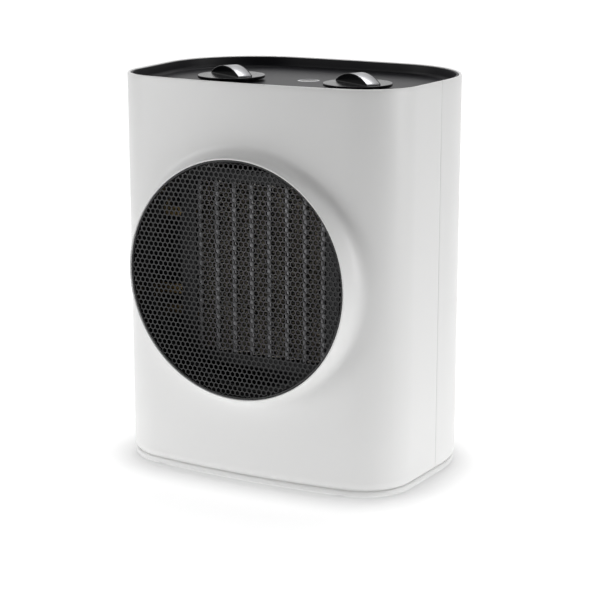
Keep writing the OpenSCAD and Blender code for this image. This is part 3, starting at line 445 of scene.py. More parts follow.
# %% Body sizes
front_low, front_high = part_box("front_shell")
_, rear_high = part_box("rear_shell")
grille_low, grille_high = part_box("front_grille")
wall = 1.8 * MM
seam_gap = 0.3 * MM
collar_out = 10 * MM
bow_front, bow_back = 560 * MM, 800 * MM
corner_front, corner_back = 35 * MM, 62 * MM
side_taper = 2.4 * MM
half_width, back_y = rear_high.x, rear_high.y
collar_y = front_low.y
front_y = collar_y + collar_out
shell_low, shell_high = front_low.z, front_high.z
axis_z = (grille_low.z + grille_high.z) / 2
grille_r = (grille_high.x - grille_low.x) / 2

front_centre = Vector((0, front_y + bow_front))
back_centre = Vector((0, back_y - bow_back))
front_corner = Vector((half_width - side_taper - corner_front, 0))
front_corner.y = front_centre.y - math.sqrt(
    (bow_front - corner_front) ** 2 - front_corner.x ** 2)
back_corner = Vector((half_width - corner_back, 0))
back_corner.y = back_centre.y + math.sqrt((bow_back - corner_back) ** 2 - back_corner.x ** 2)
front_swing = math.atan2(front_corner.x, front_centre.y - front_corner.y)
back_swing = math.atan2(back_corner.x, back_corner.y - back_centre.y)
side_run = back_corner - front_corner
side_angle = math.atan2(side_run.y, side_run.x) - math.acos(
    (corner_front - corner_back) / side_run.length)
print("Outlet radius and axis height in mm:", round(grille_r / MM, 1), round(axis_z / MM, 1))


# %% Columns along the outline
down, up = -math.pi / 2, math.pi / 2


def facing(angle):
    return Vector((math.cos(angle), math.sin(angle)))


def arc(centre, radius, start, end, steps):
    """Columns along an arc, each a point and the direction the wall faces there."""
    return [(centre + facing(a) * radius, facing(a)) for a in spread(start, end, steps)]


# %% Both sides of the outline
def mirrored(pairs):
    """The same columns, or pairs of points, on the left side and in reversed order."""
    return [(Vector((-p.x, p.y)), Vector((-q.x, q.y))) for p, q in reversed(pairs)]


def skin_y(x, depth=0.0, back=False):
    """The y of the front or back surface at x, a given depth under it."""
    way, bow, centre, corner_r, corner, swing = (
        (1, bow_back, back_centre, corner_back, back_corner, back_swing) if back else
        (-1, bow_front, front_centre, corner_front, front_corner, front_swing))
    across = abs(x)
    if across < bow * math.sin(swing):
        return centre.y + way * math.sqrt((bow - depth) ** 2 - across ** 2)
    return corner.y + way * math.sqrt((corner_r - depth) ** 2 - (across - corner.x) ** 2)


side_start = front_corner + facing(side_angle) * corner_front
side_end = back_corner + facing(side_angle) * corner_back
side_way = (side_end - side_start).normalized()


def side_column(y):
    """The column of the straight side at a given y."""
    return side_start + side_way * ((y - side_start.y) / side_way.y), facing(side_angle)


def back_columns(corner_steps, back_steps):
    """Columns round the right back corner and on to the middle of the back."""
    return (arc(back_corner, corner_back, side_angle, up - back_swing, corner_steps)
            + arc(back_centre, bow_back, up - back_swing, up, back_steps)[1:])


half_body = (arc(front_centre, bow_front, down, down + front_swing, 16)
             + arc(front_corner, corner_front, down + front_swing, side_angle, 18)[1:]
             + back_columns(18, 8))
whole_body = half_body + mirrored(half_body)[1:-1]


def carried(name, profile, finish):
    """A piece whose section of (depth, z) is carried round the body's outline."""
    rings = [[Vector((*(p - n * depth), z)) for p, n in whole_body] for depth, z in profile]
    return piece(name, *net(rings), finish)


print(len(whole_body), "columns round the body")

# %% [markdown]
# ## The walls of the two shells
# The shells are thin mouldings. A plain surface thickened by a Solidify modifier would be quick,
# but the outlet's flare, the rounded rim and the narrow seam all need their own sections. So the
# wall is built from pairs: an outer point and the inner point behind it. Rows of pairs make both
# skins, and a half-round row of points joins them at the rim and at the foot.
#
# At the seam the last pairs swing round a small edge radius, which catches a thin line of light.

# %% Pairs of outer and inner points
edge_r = 0.35 * MM
rim_rise, foot_rise = 0.8 * MM, 0.5 * MM
round_steps = 6


def pairs_of(columns):
    return [(p, p - n * wall) for p, n in columns]


def seam_pairs(y_seam, toward):
    """Pairs that swing round the rounded edge of a shell at its side seam."""
    base, n = side_column(y_seam - toward * edge_r)
    way = side_way * toward
    pairs = []
    for angle in (0, 30, 60, 90):
        swing = math.radians(angle)
        outer = base - n * edge_r + (n * math.cos(swing) + way * math.sin(swing)) * edge_r
        inner = base + way * edge_r * math.sin(swing) - n * wall
        pairs.append((outer, inner))
    return pairs


# %% Rows and faces of a wall
def wall_rows(pairs, heights):
    """One closed row of points up each pair: outer skin, rim, inner skin, foot."""
    rows = []
    angles = [math.pi * k / round_steps for k in range(1, round_steps)]
    for outer, inner in pairs:
        middle, half = (outer + inner) / 2, (outer - inner) / 2
        row = [Vector((*outer, z)) for z in heights]
        row += [Vector((*(middle + half * math.cos(a)), heights[-1] + rim_rise * math.sin(a)))
                for a in angles]
        row += [Vector((*inner, z)) for z in reversed(heights)]
        row += [Vector((*(middle - half * math.cos(a)), heights[0] - foot_rise * math.sin(a)))
                for a in angles]
        rows.append(row)
    return rows


def wall_net(rows, count, gap=(0, 0, 0, 0)):
    """Points and faces of a wall; gap is a block of columns and heights that stays open."""
    length = len(rows[0])
    inner_top = count + round_steps - 1
    inner_foot = inner_top + count - 1
    faces = []
    for i in range(len(rows) - 1):
        for k in range(length):
            # a cell of the inner skin is named by the outer cell in front of it
            cell = inner_foot - 1 - k if inner_top <= k < inner_foot else k
            if gap[0] <= i < gap[1] and gap[2] <= cell < gap[3]:
                continue
            j = (k + 1) % length
            a, b = i * length, (i + 1) * length
            faces.append((a + k, b + k, b + j, a + j))
    # the two end rows close between the outer and the inner skin
    for start in (0, (len(rows) - 1) * length):
        for k in range(count - 1):
            across = start + inner_foot - k
            faces.append((start + k, start + k + 1, across - 1, across))
        faces.append(tuple(start + k for k in range(count - 1, inner_top + 1)))
        faces.append((start, *(start + k for k in range(inner_foot, length))))
    return [p for row in rows for p in row], faces


print("Wall and rounding of the seam in mm:", round(wall / MM, 2), round(edge_r / MM, 2))

# %% [markdown]
# ## The front shell and its flared outlet
# The outlet's collar is the feature that gives this heater its face: a thin bright lip round the
# grille, a steep wall behind it, and a hollow flare that runs out smoothly into the bowed face.
# A Boolean of a ring and a box would leave a hard line where the two meet. Here the net itself
# changes from the square grid of the face to rings round the outlet. Each radial line of the
# net is a section of the collar, and its flare is a curve that leaves the collar straight and
# lands flat on the face, however steep the face is at that place.

# %% Front grid
patch_half, patch_cells = 93 * MM, 52
cells_below, cells_above = 9, 7

patch_angle = math.asin((patch_half - front_corner.x) / corner_front)
bow_length = bow_front * front_swing
patch_length = bow_length + corner_front * (patch_angle - front_swing)


def patch_column(i):
    """Columns spaced evenly along the surface, across the patch that holds the outlet."""
    along = patch_length * (2 * i / patch_cells - 1)
    sign = 1 if along >= 0 else -1
    if abs(along) <= bow_length:
        swing = abs(along) / bow_front
        centre, radius = front_centre, bow_front
    else:
        swing = front_swing + (abs(along) - bow_length) / corner_front
        centre, radius = front_corner, corner_front
    n = facing(down + swing)
    p = centre + n * radius
    return Vector((sign * p.x, p.y)), Vector((sign * n.x, n.y))


flank = arc(front_corner, corner_front, down + patch_angle, side_angle, 9)[1:]
flank += [side_column(y * MM) for y in (-24, -17, -9, -3)]
right_pairs = pairs_of(flank) + seam_pairs(-seam_gap / 2, 1)
patch_pairs = pairs_of([patch_column(i) for i in range(patch_cells + 1)])
front_pairs = mirrored(right_pairs) + patch_pairs + right_pairs
patch_left, patch_right = len(right_pairs), len(right_pairs) + patch_cells
patch_foot, patch_top = cells_below, cells_below + patch_cells
patch_low, patch_high = axis_z - patch_half, axis_z + patch_half
front_heights = (spread(shell_low + foot_rise, patch_low, cells_below)[:-1]
                 + spread(patch_low, patch_high, patch_cells)
                 + spread(patch_high, shell_high - rim_rise, cells_above)[1:])
front_points, front_faces = wall_net(
    wall_rows(front_pairs, front_heights), len(front_heights),
    (patch_left, patch_right, patch_foot, patch_top))
print("Front grid:", len(front_pairs), "columns of", len(front_heights), "heights")

# %% Collar sections
lip_in, lip_out = grille_r + 0.15 * MM, grille_r + 1.2 * MM
lip_round = 0.4 * MM
window_r = grille_r - 2.6 * MM
ledge_front, sleeve_back = front_y + 6 * MM, front_y + 8 * MM
flare_top, flare_side = 8 * MM, 7 * MM
tiny = 0.01 * MM


def face_slope(x):
    """How fast the face recedes with x."""
    return (skin_y(x + tiny) - skin_y(x - tiny)) / (2 * tiny)


def collar_section(angle):
    """The (radius, y) points of the collar along one direction, from inside out to the face."""
    across = math.cos(angle)
    section = [(lip_out, skin_y(lip_out * across, wall)), (lip_out, sleeve_back),
               (window_r, sleeve_back), (window_r, ledge_front)]
    section += [(lip_in, y) for y in spread(ledge_front, collar_y + lip_round, 3)[:-1]]
    middle, half = (lip_in + lip_out) / 2, (lip_out - lip_in) / 2
    section += [(middle - half * math.cos(a), collar_y + lip_round * (1 - math.sin(a)))
                for a in spread(0, math.pi, 6)]
    width = flare_top + (flare_side - flare_top) * across ** 2
    end_r = lip_out + width
    end_y = skin_y(end_r * across)
    lean_y = end_y - width * face_slope(end_r * across) * across
    start_y = collar_y + 2 * lip_round
    section += rounded_corner((lip_out, lean_y), (lip_out, start_y), (end_r, end_y), 16)
    return section


print("Points in a section of the collar:", len(collar_section(0.0)))

# %% Rings from the collar to the square of the grid
outer_rings, inner_rings = 8, 4


def square_path():
    """The (column, height) numbers round the edge of the patch."""
    a, b, c, d = patch_left, patch_right, patch_foot, patch_top
    return ([(i, c) for i in range(a, b)] + [(b, k) for k in range(c, d)]
            + [(i, d) for i in range(b, a, -1)] + [(a, k) for k in range(d, c, -1)])


def outward(start, end, z, depth, steps):
    """Points on a skin from a point of the collar to a point on the edge of the patch."""
    run = []
    for k in range(1, steps + 1):
        s = k / steps
        x = start.x + (end.x - start.x) * s
        run.append(Vector((x, skin_y(x, depth), start.z + (z - start.z) * s)))
    return run


collar_rows = []
for column, height in square_path():
    outer, inner = front_pairs[column]
    z = front_heights[height]
    angle = math.atan2(z - axis_z, outer.x)
    section = [Vector((r * math.cos(angle), y, axis_z + r * math.sin(angle)))
               for r, y in collar_section(angle)]
    behind = outward(section[0], inner, z, wall, inner_rings)
    collar_rows.append(behind[::-1] + section + outward(section[-1], outer, z, 0, outer_rings))

first, row_length = len(front_points), len(collar_rows[0])
numbers = [[first + i * row_length + k for k in range(row_length)]
           for i in range(len(collar_rows))]
front_points += [p for row in collar_rows for p in row]
front_faces += strip(numbers + numbers[:1])
front_shell = piece("front_shell_skin", front_points, front_faces, "shell_white", 40)
settle(front_shell, "shell_white", "housing", "front_shell")

# %% [markdown]
# ## Geometry Nodes for what repeats
# The heater repeats a few shapes many times: intake slots, screws, feet, core bars, folded fins and
# more than a thousand honeycomb cells. Loops in Python could place them, but a geometry tree
# keeps the rule in one place, with named inputs that can be changed later. Each tree ends in
# Realize Instances and Set Material, and its result is kept as a plain mesh.

# %% Helpers for geometry trees
def start_geometry(name, **inputs):
    return start_group(name, "GeometryNodeTree",
                       {"Geometry": "Geometry", **inputs, "Material": "Material"},
                       {"Geometry": "Geometry"})


def end_geometry(tree, given, geometry):
    """Realizes the instances, sets the material and ends the tree."""
    real = add(tree, "RealizeInstances", {"Geometry": geometry})
    painted = add(tree, "SetMaterial", {"Geometry": real, "Material": given["Material"]})
    return end_group(tree, Geometry=painted)


def lay(tree, count, place, shape, dropped=None, **notes):
    """Copies a shape to points; some may be dropped, and each may note numbers of its own."""
    points = add(tree, "SetPosition", {
        "Geometry": add(tree, "Points", {"Count": count}), "Position": place})
    for label, value in notes.items():
        points = note(tree, points, label, value)
    if dropped is not None:
        points = add(tree, "DeleteGeometry", {"Geometry": points, "Selection": dropped},
                     domain="POINT")
    return add(tree, "InstanceOnPoints", {"Points": points, "Instance": shape})


def note(tree, geometry, label, value):
    """Keeps a number on each point, under a name."""
    return add(tree, "StoreNamedAttribute", {"Geometry": geometry, "Name": label, "Value": value},
               data_type="FLOAT", domain="POINT")


def noted(tree, label):
    return add(tree, "InputNamedAttribute", {"Name": label}, data_type="FLOAT")["Attribute"]


def moved(tree, geometry, **move):
    return add(tree, "Transform", {"Geometry": geometry, **move})


def together(tree, *parts):
    joined = add(tree, "JoinGeometry")
    for part in parts:
        put(tree, part, joined.socket.node.inputs[0])
    return joined


# %% Helpers that keep a result as a mesh
def keep(made, modifier):
    """Replaces the mesh of a piece with what its modifier makes of it."""
    seen = made.evaluated_get(bpy.context.evaluated_depsgraph_get())
    mesh = bpy.data.meshes.new_from_object(seen)
    made.modifiers.remove(modifier)
    made.data = mesh
    mesh.name = made.name


def grow(made, tree, sharp=35, **values):
    """Runs a geometry tree on a piece and keeps the result as its plain mesh."""
    values["Material"] = made.data.materials[0]
    modifier = made.modifiers.new(tree.name, "NODES")
    modifier.node_group = tree
    for item in tree.interface.items_tree:
        label = item.name.replace(" ", "_")
        if item.item_type == "SOCKET" and item.in_out == "INPUT" and label in values:
            modifier[item.identifier] = values[label]
    made.update_tag()
    keep(made, modifier)
    tidy_mesh(made.data, sharp)
    return made


def cut(made, cutter):
    """A Boolean, kept as a plain mesh; the cutter is deleted."""
    modifier = made.modifiers.new("Cut", "BOOLEAN")
    modifier.object = cutter
    modifier.operation = "DIFFERENCE"
    modifier.solver = "EXACT"
    keep(made, modifier)
    bpy.data.objects.remove(cutter)


# %% [markdown]
# ## Four of a kind
# The screws of the shells, the screws of the base and the feet each sit at four corners. One tree
# copies the piece that it is given to four points, a spread away from a centre. A drill bit can be
# copied in the same way before it cuts.

# %% Tree for pieces at four corners, and the drill
def four_corners():
    tree, given = start_geometry("At four corners", Centre="Vector", Spread="Vector")
    number = add(tree, "InputIndex")
    side = number % 2.0 * 2.0 - 1.0
    other = maths("FLOOR", number / 2.0) * 2.0 - 1.0
    place = add(tree, "VectorMath", {0: given["Spread"], 1: vector(tree, side, other, other),
                                     2: given["Centre"]}, operation="MULTIPLY_ADD")
    return end_geometry(tree, given, lay(tree, 4, place, given["Geometry"]))


FOUR_CORNERS = four_corners()


def drill(target, radius, start, end, centre, axis="Z", corners=None):
    """Cuts one round hole along an axis, or four at the corners of a spread."""
    profile = [(0, start), (radius, start), (radius, end), (0, end)]
    bit = turned("drill", profile, "shell_white", centre=centre, axis=axis)
    if corners:
        grow(bit, FOUR_CORNERS, Spread=corners)
    cut(target, bit)


print("Trees so far:", [tree.name for tree in bpy.data.node_groups])

# %% [markdown]
# ## The rear shell and its intake
# The back is one smooth moulding with a round field of slots that let the fan breathe. Its wall is
# made from pairs, like the front's. The slots' cutters come from a geometry tree: a point for each
# slot, a short round bar on each point, and the two halves of each bar pulled apart until the
# bar is as long as its slot. One Boolean then cuts all the slots at once.

# %% Rear wall
rear_half = [side_column(y * MM) for y in (3, 7)] + back_columns(26, 10)
rear_right = seam_pairs(seam_gap / 2, -1)[::-1] + pairs_of(rear_half)
rear_pairs = rear_right + mirrored(rear_right)[1:]
rear_heights = spread(shell_low + foot_rise, shell_high - rim_rise, 30)
rear_points, rear_faces = wall_net(wall_rows(rear_pairs, rear_heights), len(rear_heights))
rear_shell = piece("rear_shell_skin", rear_points, rear_faces, "shell_white")
print("Rear wall:", len(rear_faces), "faces")

# %% Tree for the intake's cutters
bar_sides = 24


def intake_tree():
    tree, given = start_geometry(
        "Intake slots", Field_Radius="Float", Row_Pitch="Float", Slot_Height="Float",
        Rib="Float", Cut_Depth="Float", Centre="Vector")
    field_r, slot_height, rib = given["Field Radius"], given["Slot Height"], given["Rib"]
    rows = maths("FLOOR", field_r / given["Row Pitch"])
    number = add(tree, "InputIndex")
    column = number % 3.0 - 1.0
    z = (maths("FLOOR", number / 3.0) - rows) * given["Row Pitch"]
    # half the chord of the round field at this row, and the inner end of the side columns
    half = maths("SQRT", field_r ** 2.0 - z ** 2.0)
    inner = field_r / 3.0
    at_side = maths("ABSOLUTE", column)
    length = ((half - inner - rib) * at_side
              + (maths("MINIMUM", inner, half) * 2.0 - rib) * (1.0 - at_side))
    x = (half + inner) * 0.5 * column
    place = add(tree, "VectorMath", {0: vector(tree, x, 0.0, z), 1: given["Centre"]})
    bar = add(tree, "MeshCylinder", {"Vertices": bar_sides, "Radius": slot_height / 2.0,
                                     "Depth": given["Cut Depth"]})
    lying = moved(tree, bar, Rotation=(math.pi / 2, 0, 0))
    stood = moved(tree, lying, Rotation=(0, math.pi / bar_sides, 0))
    own_x = add(tree, "SeparateXYZ", {0: add(tree, "InputPosition")})
    ended = note(tree, stood, "bar_end", maths("SIGN", own_x))
    bars = lay(tree, (rows * 2.0 + 1.0) * 3.0, place, ended,
               maths("LESS_THAN", length, slot_height), slot_length=length)
    reach = (noted(tree, "slot_length") - slot_height) * 0.5
    pulled = add(tree, "SetPosition", {
        "Geometry": add(tree, "RealizeInstances", {"Geometry": bars}),
        "Offset": vector(tree, reach * noted(tree, "bar_end"))})
    return end_geometry(tree, given, pulled)


INTAKE = intake_tree()
print("Nodes in the intake's tree:", len(INTAKE.nodes))

# %% Cut the intake
cutters = piece("intake_cutters", [], [], "shell_white")
grow(cutters, INTAKE, Field_Radius=60 * MM, Row_Pitch=7 * MM, Slot_Height=3.4 * MM,
     Rib=6 * MM, Cut_Depth=40 * MM, Centre=(0.0, back_y, axis_z))
print("Slots in the intake:", len(cutters.data.vertices) // (2 * bar_sides))
cut(rear_shell, cutters)

# %% [markdown]
# The four screws of the shells sit deep in round wells. The wall is drilled at each well, and a
# short tube behind the hole makes the well's side and the seat that the screw's head pulls
# on. The cord's bushing gets its own hole. Its flange is sunk into the wall.

# %% Wells and the bushing's hole
screw_low, screw_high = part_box("shell_screws")
gland_low, gland_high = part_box("cord_gland")
head_r, head_height = 3.8 * MM, 2.4 * MM
well_r, post_r = 4.2 * MM, 5.8 * MM
screw_spread = Vector(((screw_high.x - screw_low.x) / 2 - head_r, 0,
                       (screw_high.z - screw_low.z) / 2 - head_r))
screw_centre = Vector((0, 0, (screw_high.z + screw_low.z) / 2))
seat_y = screw_high.y - head_height
gland_centre = Vector(((gland_low.x + gland_high.x) / 2, 0, (gland_low.z + gland_high.z) / 2))
flange_r, flange_t = (gland_high.x - gland_low.x) / 2, 1.6 * MM
cord_hole_r = 5.1 * MM
inside_y, outside_y = 20 * MM, back_y + MM
drill(rear_shell, well_r, inside_y, outside_y, screw_centre, "Y", screw_spread)
drill(rear_shell, flange_r + 0.15 * MM, gland_high.y - flange_t, outside_y, gland_centre, "Y")
drill(rear_shell, cord_hole_r, inside_y + 20 * MM, outside_y, gland_centre, "Y")
shade(rear_shell.data, 30)
print("Rear wall, cut and drilled:", len(rear_shell.data.polygons), "faces")

# %% Wells' tubes, side tongue and the finished rear shell
well_mouth = skin_y(screw_spread.x + post_r, back=True) - wall / 2
shank_hole_r, post_y = 1.9 * MM, -0.5 * MM
wells = turned("screw_wells", [
    (well_r, well_mouth), (well_r, seat_y), (shank_hole_r, seat_y), (shank_hole_r, post_y),
    (post_r, post_y), (post_r, well_mouth)], "shell_white", centre=screw_centre, axis="Y")
grow(wells, FOUR_CORNERS, Spread=screw_spread)


def tongue(side):
    """The lip of the rear shell that laps behind the front shell at a side seam."""
    near, far = wall + 0.25 * MM, wall + 1.45 * MM
    low, high = shell_low + 8 * MM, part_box("control_panel")[0].z - 7 * MM
    corners = []
    for y, depths in ((-3 * MM, (near, far)), (4 * MM, (far, near))):
        p, n = side_column(y)
        corners += [p - n * depth for depth in depths]
    rings = [[(side * q.x, q.y, z) for q in corners] for z in (low, high)]
    return piece("seam_tongue", *net(rings), "shell_white")


join(rear_shell, wells, tongue(1), tongue(-1))
settle(rear_shell, "shell_white", "housing", "rear_shell")

# %% [markdown]
# ## The base plate
# The plinth is a plain white tray under the shells. A shadow groove keeps it apart from them. Its
# upper edge is well rounded, so that the groove stays soft, and its lower edge a little, as a
# moulding's is. It is one profile carried round the outline, and then drilled from below for the
# feet, the screws and the pin of the tip-over switch.

# %% Base plate
base_low, base_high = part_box("base_plate")
plinth_top = base_low.z + 3.4 * MM
plinth_in, plug_in, plug_inner = 0.6 * MM, 2.05 * MM, 4.05 * MM
base_profile = [(plug_inner, plinth_top), (plug_inner, base_high.z), (2.4 * MM, base_high.z),
                (plug_in, base_high.z - 0.4 * MM), (plug_in, plinth_top)]
base_profile += bend_at(plinth_in, plinth_top, (1.4, 0), (0, -2.2), 8)
base_profile += bend_at(plinth_in, base_low.z, (0, 0.7), (0.7, 0), 6)
base_profile.append((plinth_in + 2 * MM, base_low.z))
base_plate = carried("base_plate_skin", base_profile, "shell_white")


def four_of(node, radius):
    """Centre and spread of a CAD node that holds four round pieces seen from below."""
    low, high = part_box(node)
    return (Vector(((low.x + high.x) / 2, (low.y + high.y) / 2, 0)),
            Vector(((high.x - low.x) / 2 - radius, (high.y - low.y) / 2 - radius, 0)))


foot_r, base_head_r, pin_hole_r = 8 * MM, 3.4 * MM, 4.25 * MM
foot_centre, foot_spread = four_of("rubber_feet", foot_r)
base_centre, base_spread = four_of("base_screws", base_head_r)
pin_centre, _ = four_of("tip_plunger", 0)
under = -MM
drill(base_plate, foot_r + 0.15 * MM, under, base_low.z + 1.2 * MM, foot_centre,
      corners=foot_spread)
drill(base_plate, base_head_r + 0.25 * MM, under, plinth_top - tiny, base_centre,
      corners=base_spread)
drill(base_plate, pin_hole_r, under, plinth_top + MM, pin_centre)
shade(base_plate.data, 30)
settle(base_plate, "shell_white", "housing", "base_plate")

# %% [markdown]
# ## The control panel
# The panel is a shallow black tray that drops into the top of the shells. What makes it read as
# real is its edge: a small step under the white rim, a rounded lip, and a soft fillet where the
# wall meets the floor, which gathers a band of light. A last ring of points lies a little further
# in on the floor, so that the big flat face doesn't share the fillet's tilted normals.

# %% Control panel
panel_low, panel_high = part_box("control_panel")
panel_z = panel_high.z - 7 * MM
panel_out = wall + 0.15 * MM
panel_in, fillet = panel_out + 1.4 * MM, 2.6
panel_profile = [(panel_out, panel_low.z), (panel_out, panel_high.z - 0.5 * MM)]
panel_profile += bend_at(panel_out, panel_high.z, (0, -0.4), (0.4, 0))
panel_profile += bend_at(panel_in, panel_high.z, (-0.4, 0), (0, -0.4))
panel_profile += bend_at(panel_in, panel_z, (0, fillet), (fillet, 0), 8)
panel_profile.append((panel_in + (fillet + 2) * MM, panel_z))
control_panel = carried("control_panel_tray", panel_profile, "panel_black")

knob_low, knob_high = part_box("selector_knob")
knob_centre = (knob_low + knob_high) / 2
lamp_low, lamp_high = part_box("lamp_window")
lamp_centre = Vector((0, (lamp_low.y + lamp_high.y) / 2, 0))


def hub_of(side):
    """The middle of the left (-1) or the right (1) knob, at height 0."""
    return Vector((side * abs(knob_centre.x), knob_centre.y, 0))


shaft_hole_r, lamp_hole_r = 5.6 * MM, 7.1 * MM
screw_hole_r, screw_hole_x, screw_hole_depth = 2.7 * MM, 10.5 * MM, 1.3 * MM
for side in (-1, 1):
    drill(control_panel, shaft_hole_r, panel_low.z - MM, panel_z + MM, hub_of(side))
    for x in (-screw_hole_x, screw_hole_x):
        drill(control_panel, screw_hole_r, panel_z - screw_hole_depth, panel_z + MM,
              hub_of(side) + Vector((x, 0, 0)))
drill(control_panel, lamp_hole_r, panel_low.z - MM, panel_z + MM, lamp_centre)
shade(control_panel.data, 30)
settle(control_panel, "panel_black", "housing", "control_panel")

# %% [markdown]
# ## The knobs
# Each knob is a thin glossy disc with an arched grip across it, and a silver strip laid into the
# top of the arch. The disc is a turned profile with a rounded edge. The grip is a row of cross
# sections that follow the arch, with the strip's bed sunk between two thin black edges.

# %% Knob sizes
knob_r = (knob_high.x - knob_low.x) / 2
knob_top = knob_high.z - 6 * MM
knob_z = knob_top - 1.8 * MM
grip_length, grip_width, grip_height, grip_end = 34 * MM, 10.4 * MM, 6 * MM, 1 * MM
grip_rise = grip_height - grip_end
arch_r = (grip_length ** 2 / 4 + grip_rise ** 2) / (2 * grip_rise)
inlay_gap = 0.58 * MM


def arch_height(along, sink=0.0):
    """Height of the arch over the disc, a given depth under its surface."""
    return grip_height - arch_r + math.sqrt((arch_r - sink) ** 2 - along ** 2)


def offsets(x, z, table):
    """Points at offsets in mm from (x, z)."""
    return [(x + dx * MM, z + dz * MM) for dx, dz in table]


def arched(name, side, length, section, finish):
    """A piece whose cross section of (across, height) follows the arch of a knob's grip."""
    rows = []
    for along in spread(-length / 2, length / 2, 28):
        x_axis = Vector((math.cos(knob_turn), math.sin(knob_turn), 0))
        y_axis = Vector((-math.sin(knob_turn), math.cos(knob_turn), 0))
        rows.append([hub_of(side) + x_axis * along + y_axis * across
                     + Vector((0, 0, knob_top + height)) for across, height in section(along)])
    return piece(name, *net(rows), finish, 50)


print("Radius of the grips' arch in mm:", round(arch_r / MM, 1))

# %% Knob maker
def grip_section(along):
    half, top = grip_width / 2, arch_height(along)
    flank = offsets(-half, 0, [(-0.45, -0.1), (-0.12, 0.12), (0, 0.45), (0, 0.5)])
    flank += offsets(-half, top, [(0, -0.4), (0, -0.35), (0.1, -0.1), (0.3, 0), (0.5, -0.02)])
    flank.append((-half + 0.5 * MM, arch_height(along, 0.62 * MM)))
    return flank + [(-across, height) for across, height in reversed(flank)]


def inlay_section(along):
    half = grip_width / 2 - inlay_gap
    low, top = arch_height(along, inlay_gap), arch_height(along, 0.05 * MM)
    flank = [(-half, low), *offsets(-half, top, [(0, -0.12), (0.12, 0)])]
    return flank + [(-across, height) for across, height in reversed(flank)]


def knob(side, name):
    shaft_r, collar_r, edge = 3.1 * MM, 5.2 * MM, 0.5
    profile = [(shaft_r, knob_z - MM), (collar_r, knob_z - MM), (collar_r, knob_z)]
    profile += bend_at(knob_r, knob_z, (-edge, 0), (0, edge))
    profile += bend_at(knob_r, knob_top, (0, -edge * 0.7), (-edge * 0.7, 0), 6)
    profile += [(knob_r - 2 * MM, knob_top), (0, knob_top), (0, knob_top - MM),
                (shaft_r, knob_top - MM)]
    return join(turned(name, profile, "knob_black", 96, hub_of(side)),
                arched(name + "_grip", side, grip_length, grip_section, "knob_black"))


print("Points in a section of a grip:", len(grip_section(0.0)))

# %% Make both knobs
for side, kind in ((-1, "selector"), (1, "thermostat")):
    settle(knob(side, kind + "_dial"), "knob_black", kind, kind + "_knob")
    silver = arched(kind + "_silver", side, grip_length - 0.2 * MM, inlay_section, "inlay_silver")
    settle(silver, "inlay_silver", kind, kind + "_inlay")

# %% [markdown]
# ## The pilot lamp's window
# Between the knobs lies the window of the pilot lamp: a smoked lens in a pale ring. It is turned as
# one profile. The lens and the ring are two materials on one mesh, chosen by each face's distance
# from the centre.

# %% Lamp window
lens_r, ring_in, flange_out = 7 * MM, 5.9 * MM, 8.5 * MM
lamp_profile = [
    (0, lamp_low.z), (flange_out, lamp_low.z), (flange_out, lamp_low.z + MM),
    (lens_r, lamp_low.z + MM), (lens_r, panel_z - 0.1 * MM), (lens_r - 0.15 * MM, panel_z),
    (ring_in + 0.1 * MM, panel_z), (ring_in, panel_z - 0.15 * MM),
    (4.4 * MM, panel_z - 0.05 * MM), (2.2 * MM, panel_z), (0, panel_z + 0.02 * MM)]
window = turned("lamp_lens", lamp_profile, "window_clear", 64, lamp_centre)
smoked = plastic("Smoked lens plastic", (0.030, 0.026, 0.024), 0.10, 0.4, 0.0005)
window.data.materials.append(smoked)
for face in window.data.polygons:
    middle = face.center - lamp_centre
    if math.hypot(middle.x, middle.y) < ring_in and middle.z > panel_z - MM:
        face.material_index = 1
settle(window, "window_clear", "housing", "lamp_window")

# %% [markdown]
# ## The honeycomb grille
# The grille is a punched sheet with more than a thousand six-sided cells. Cutting each cell with
# a Boolean would take minutes. Instead the tree starts from one flat cell frame, the strip between
# a hexagon and a smaller one. Copies of it on a staggered grid share their outer edges, so once
# they are merged they are a single web of bars. Extruding that web gives it its thickness.

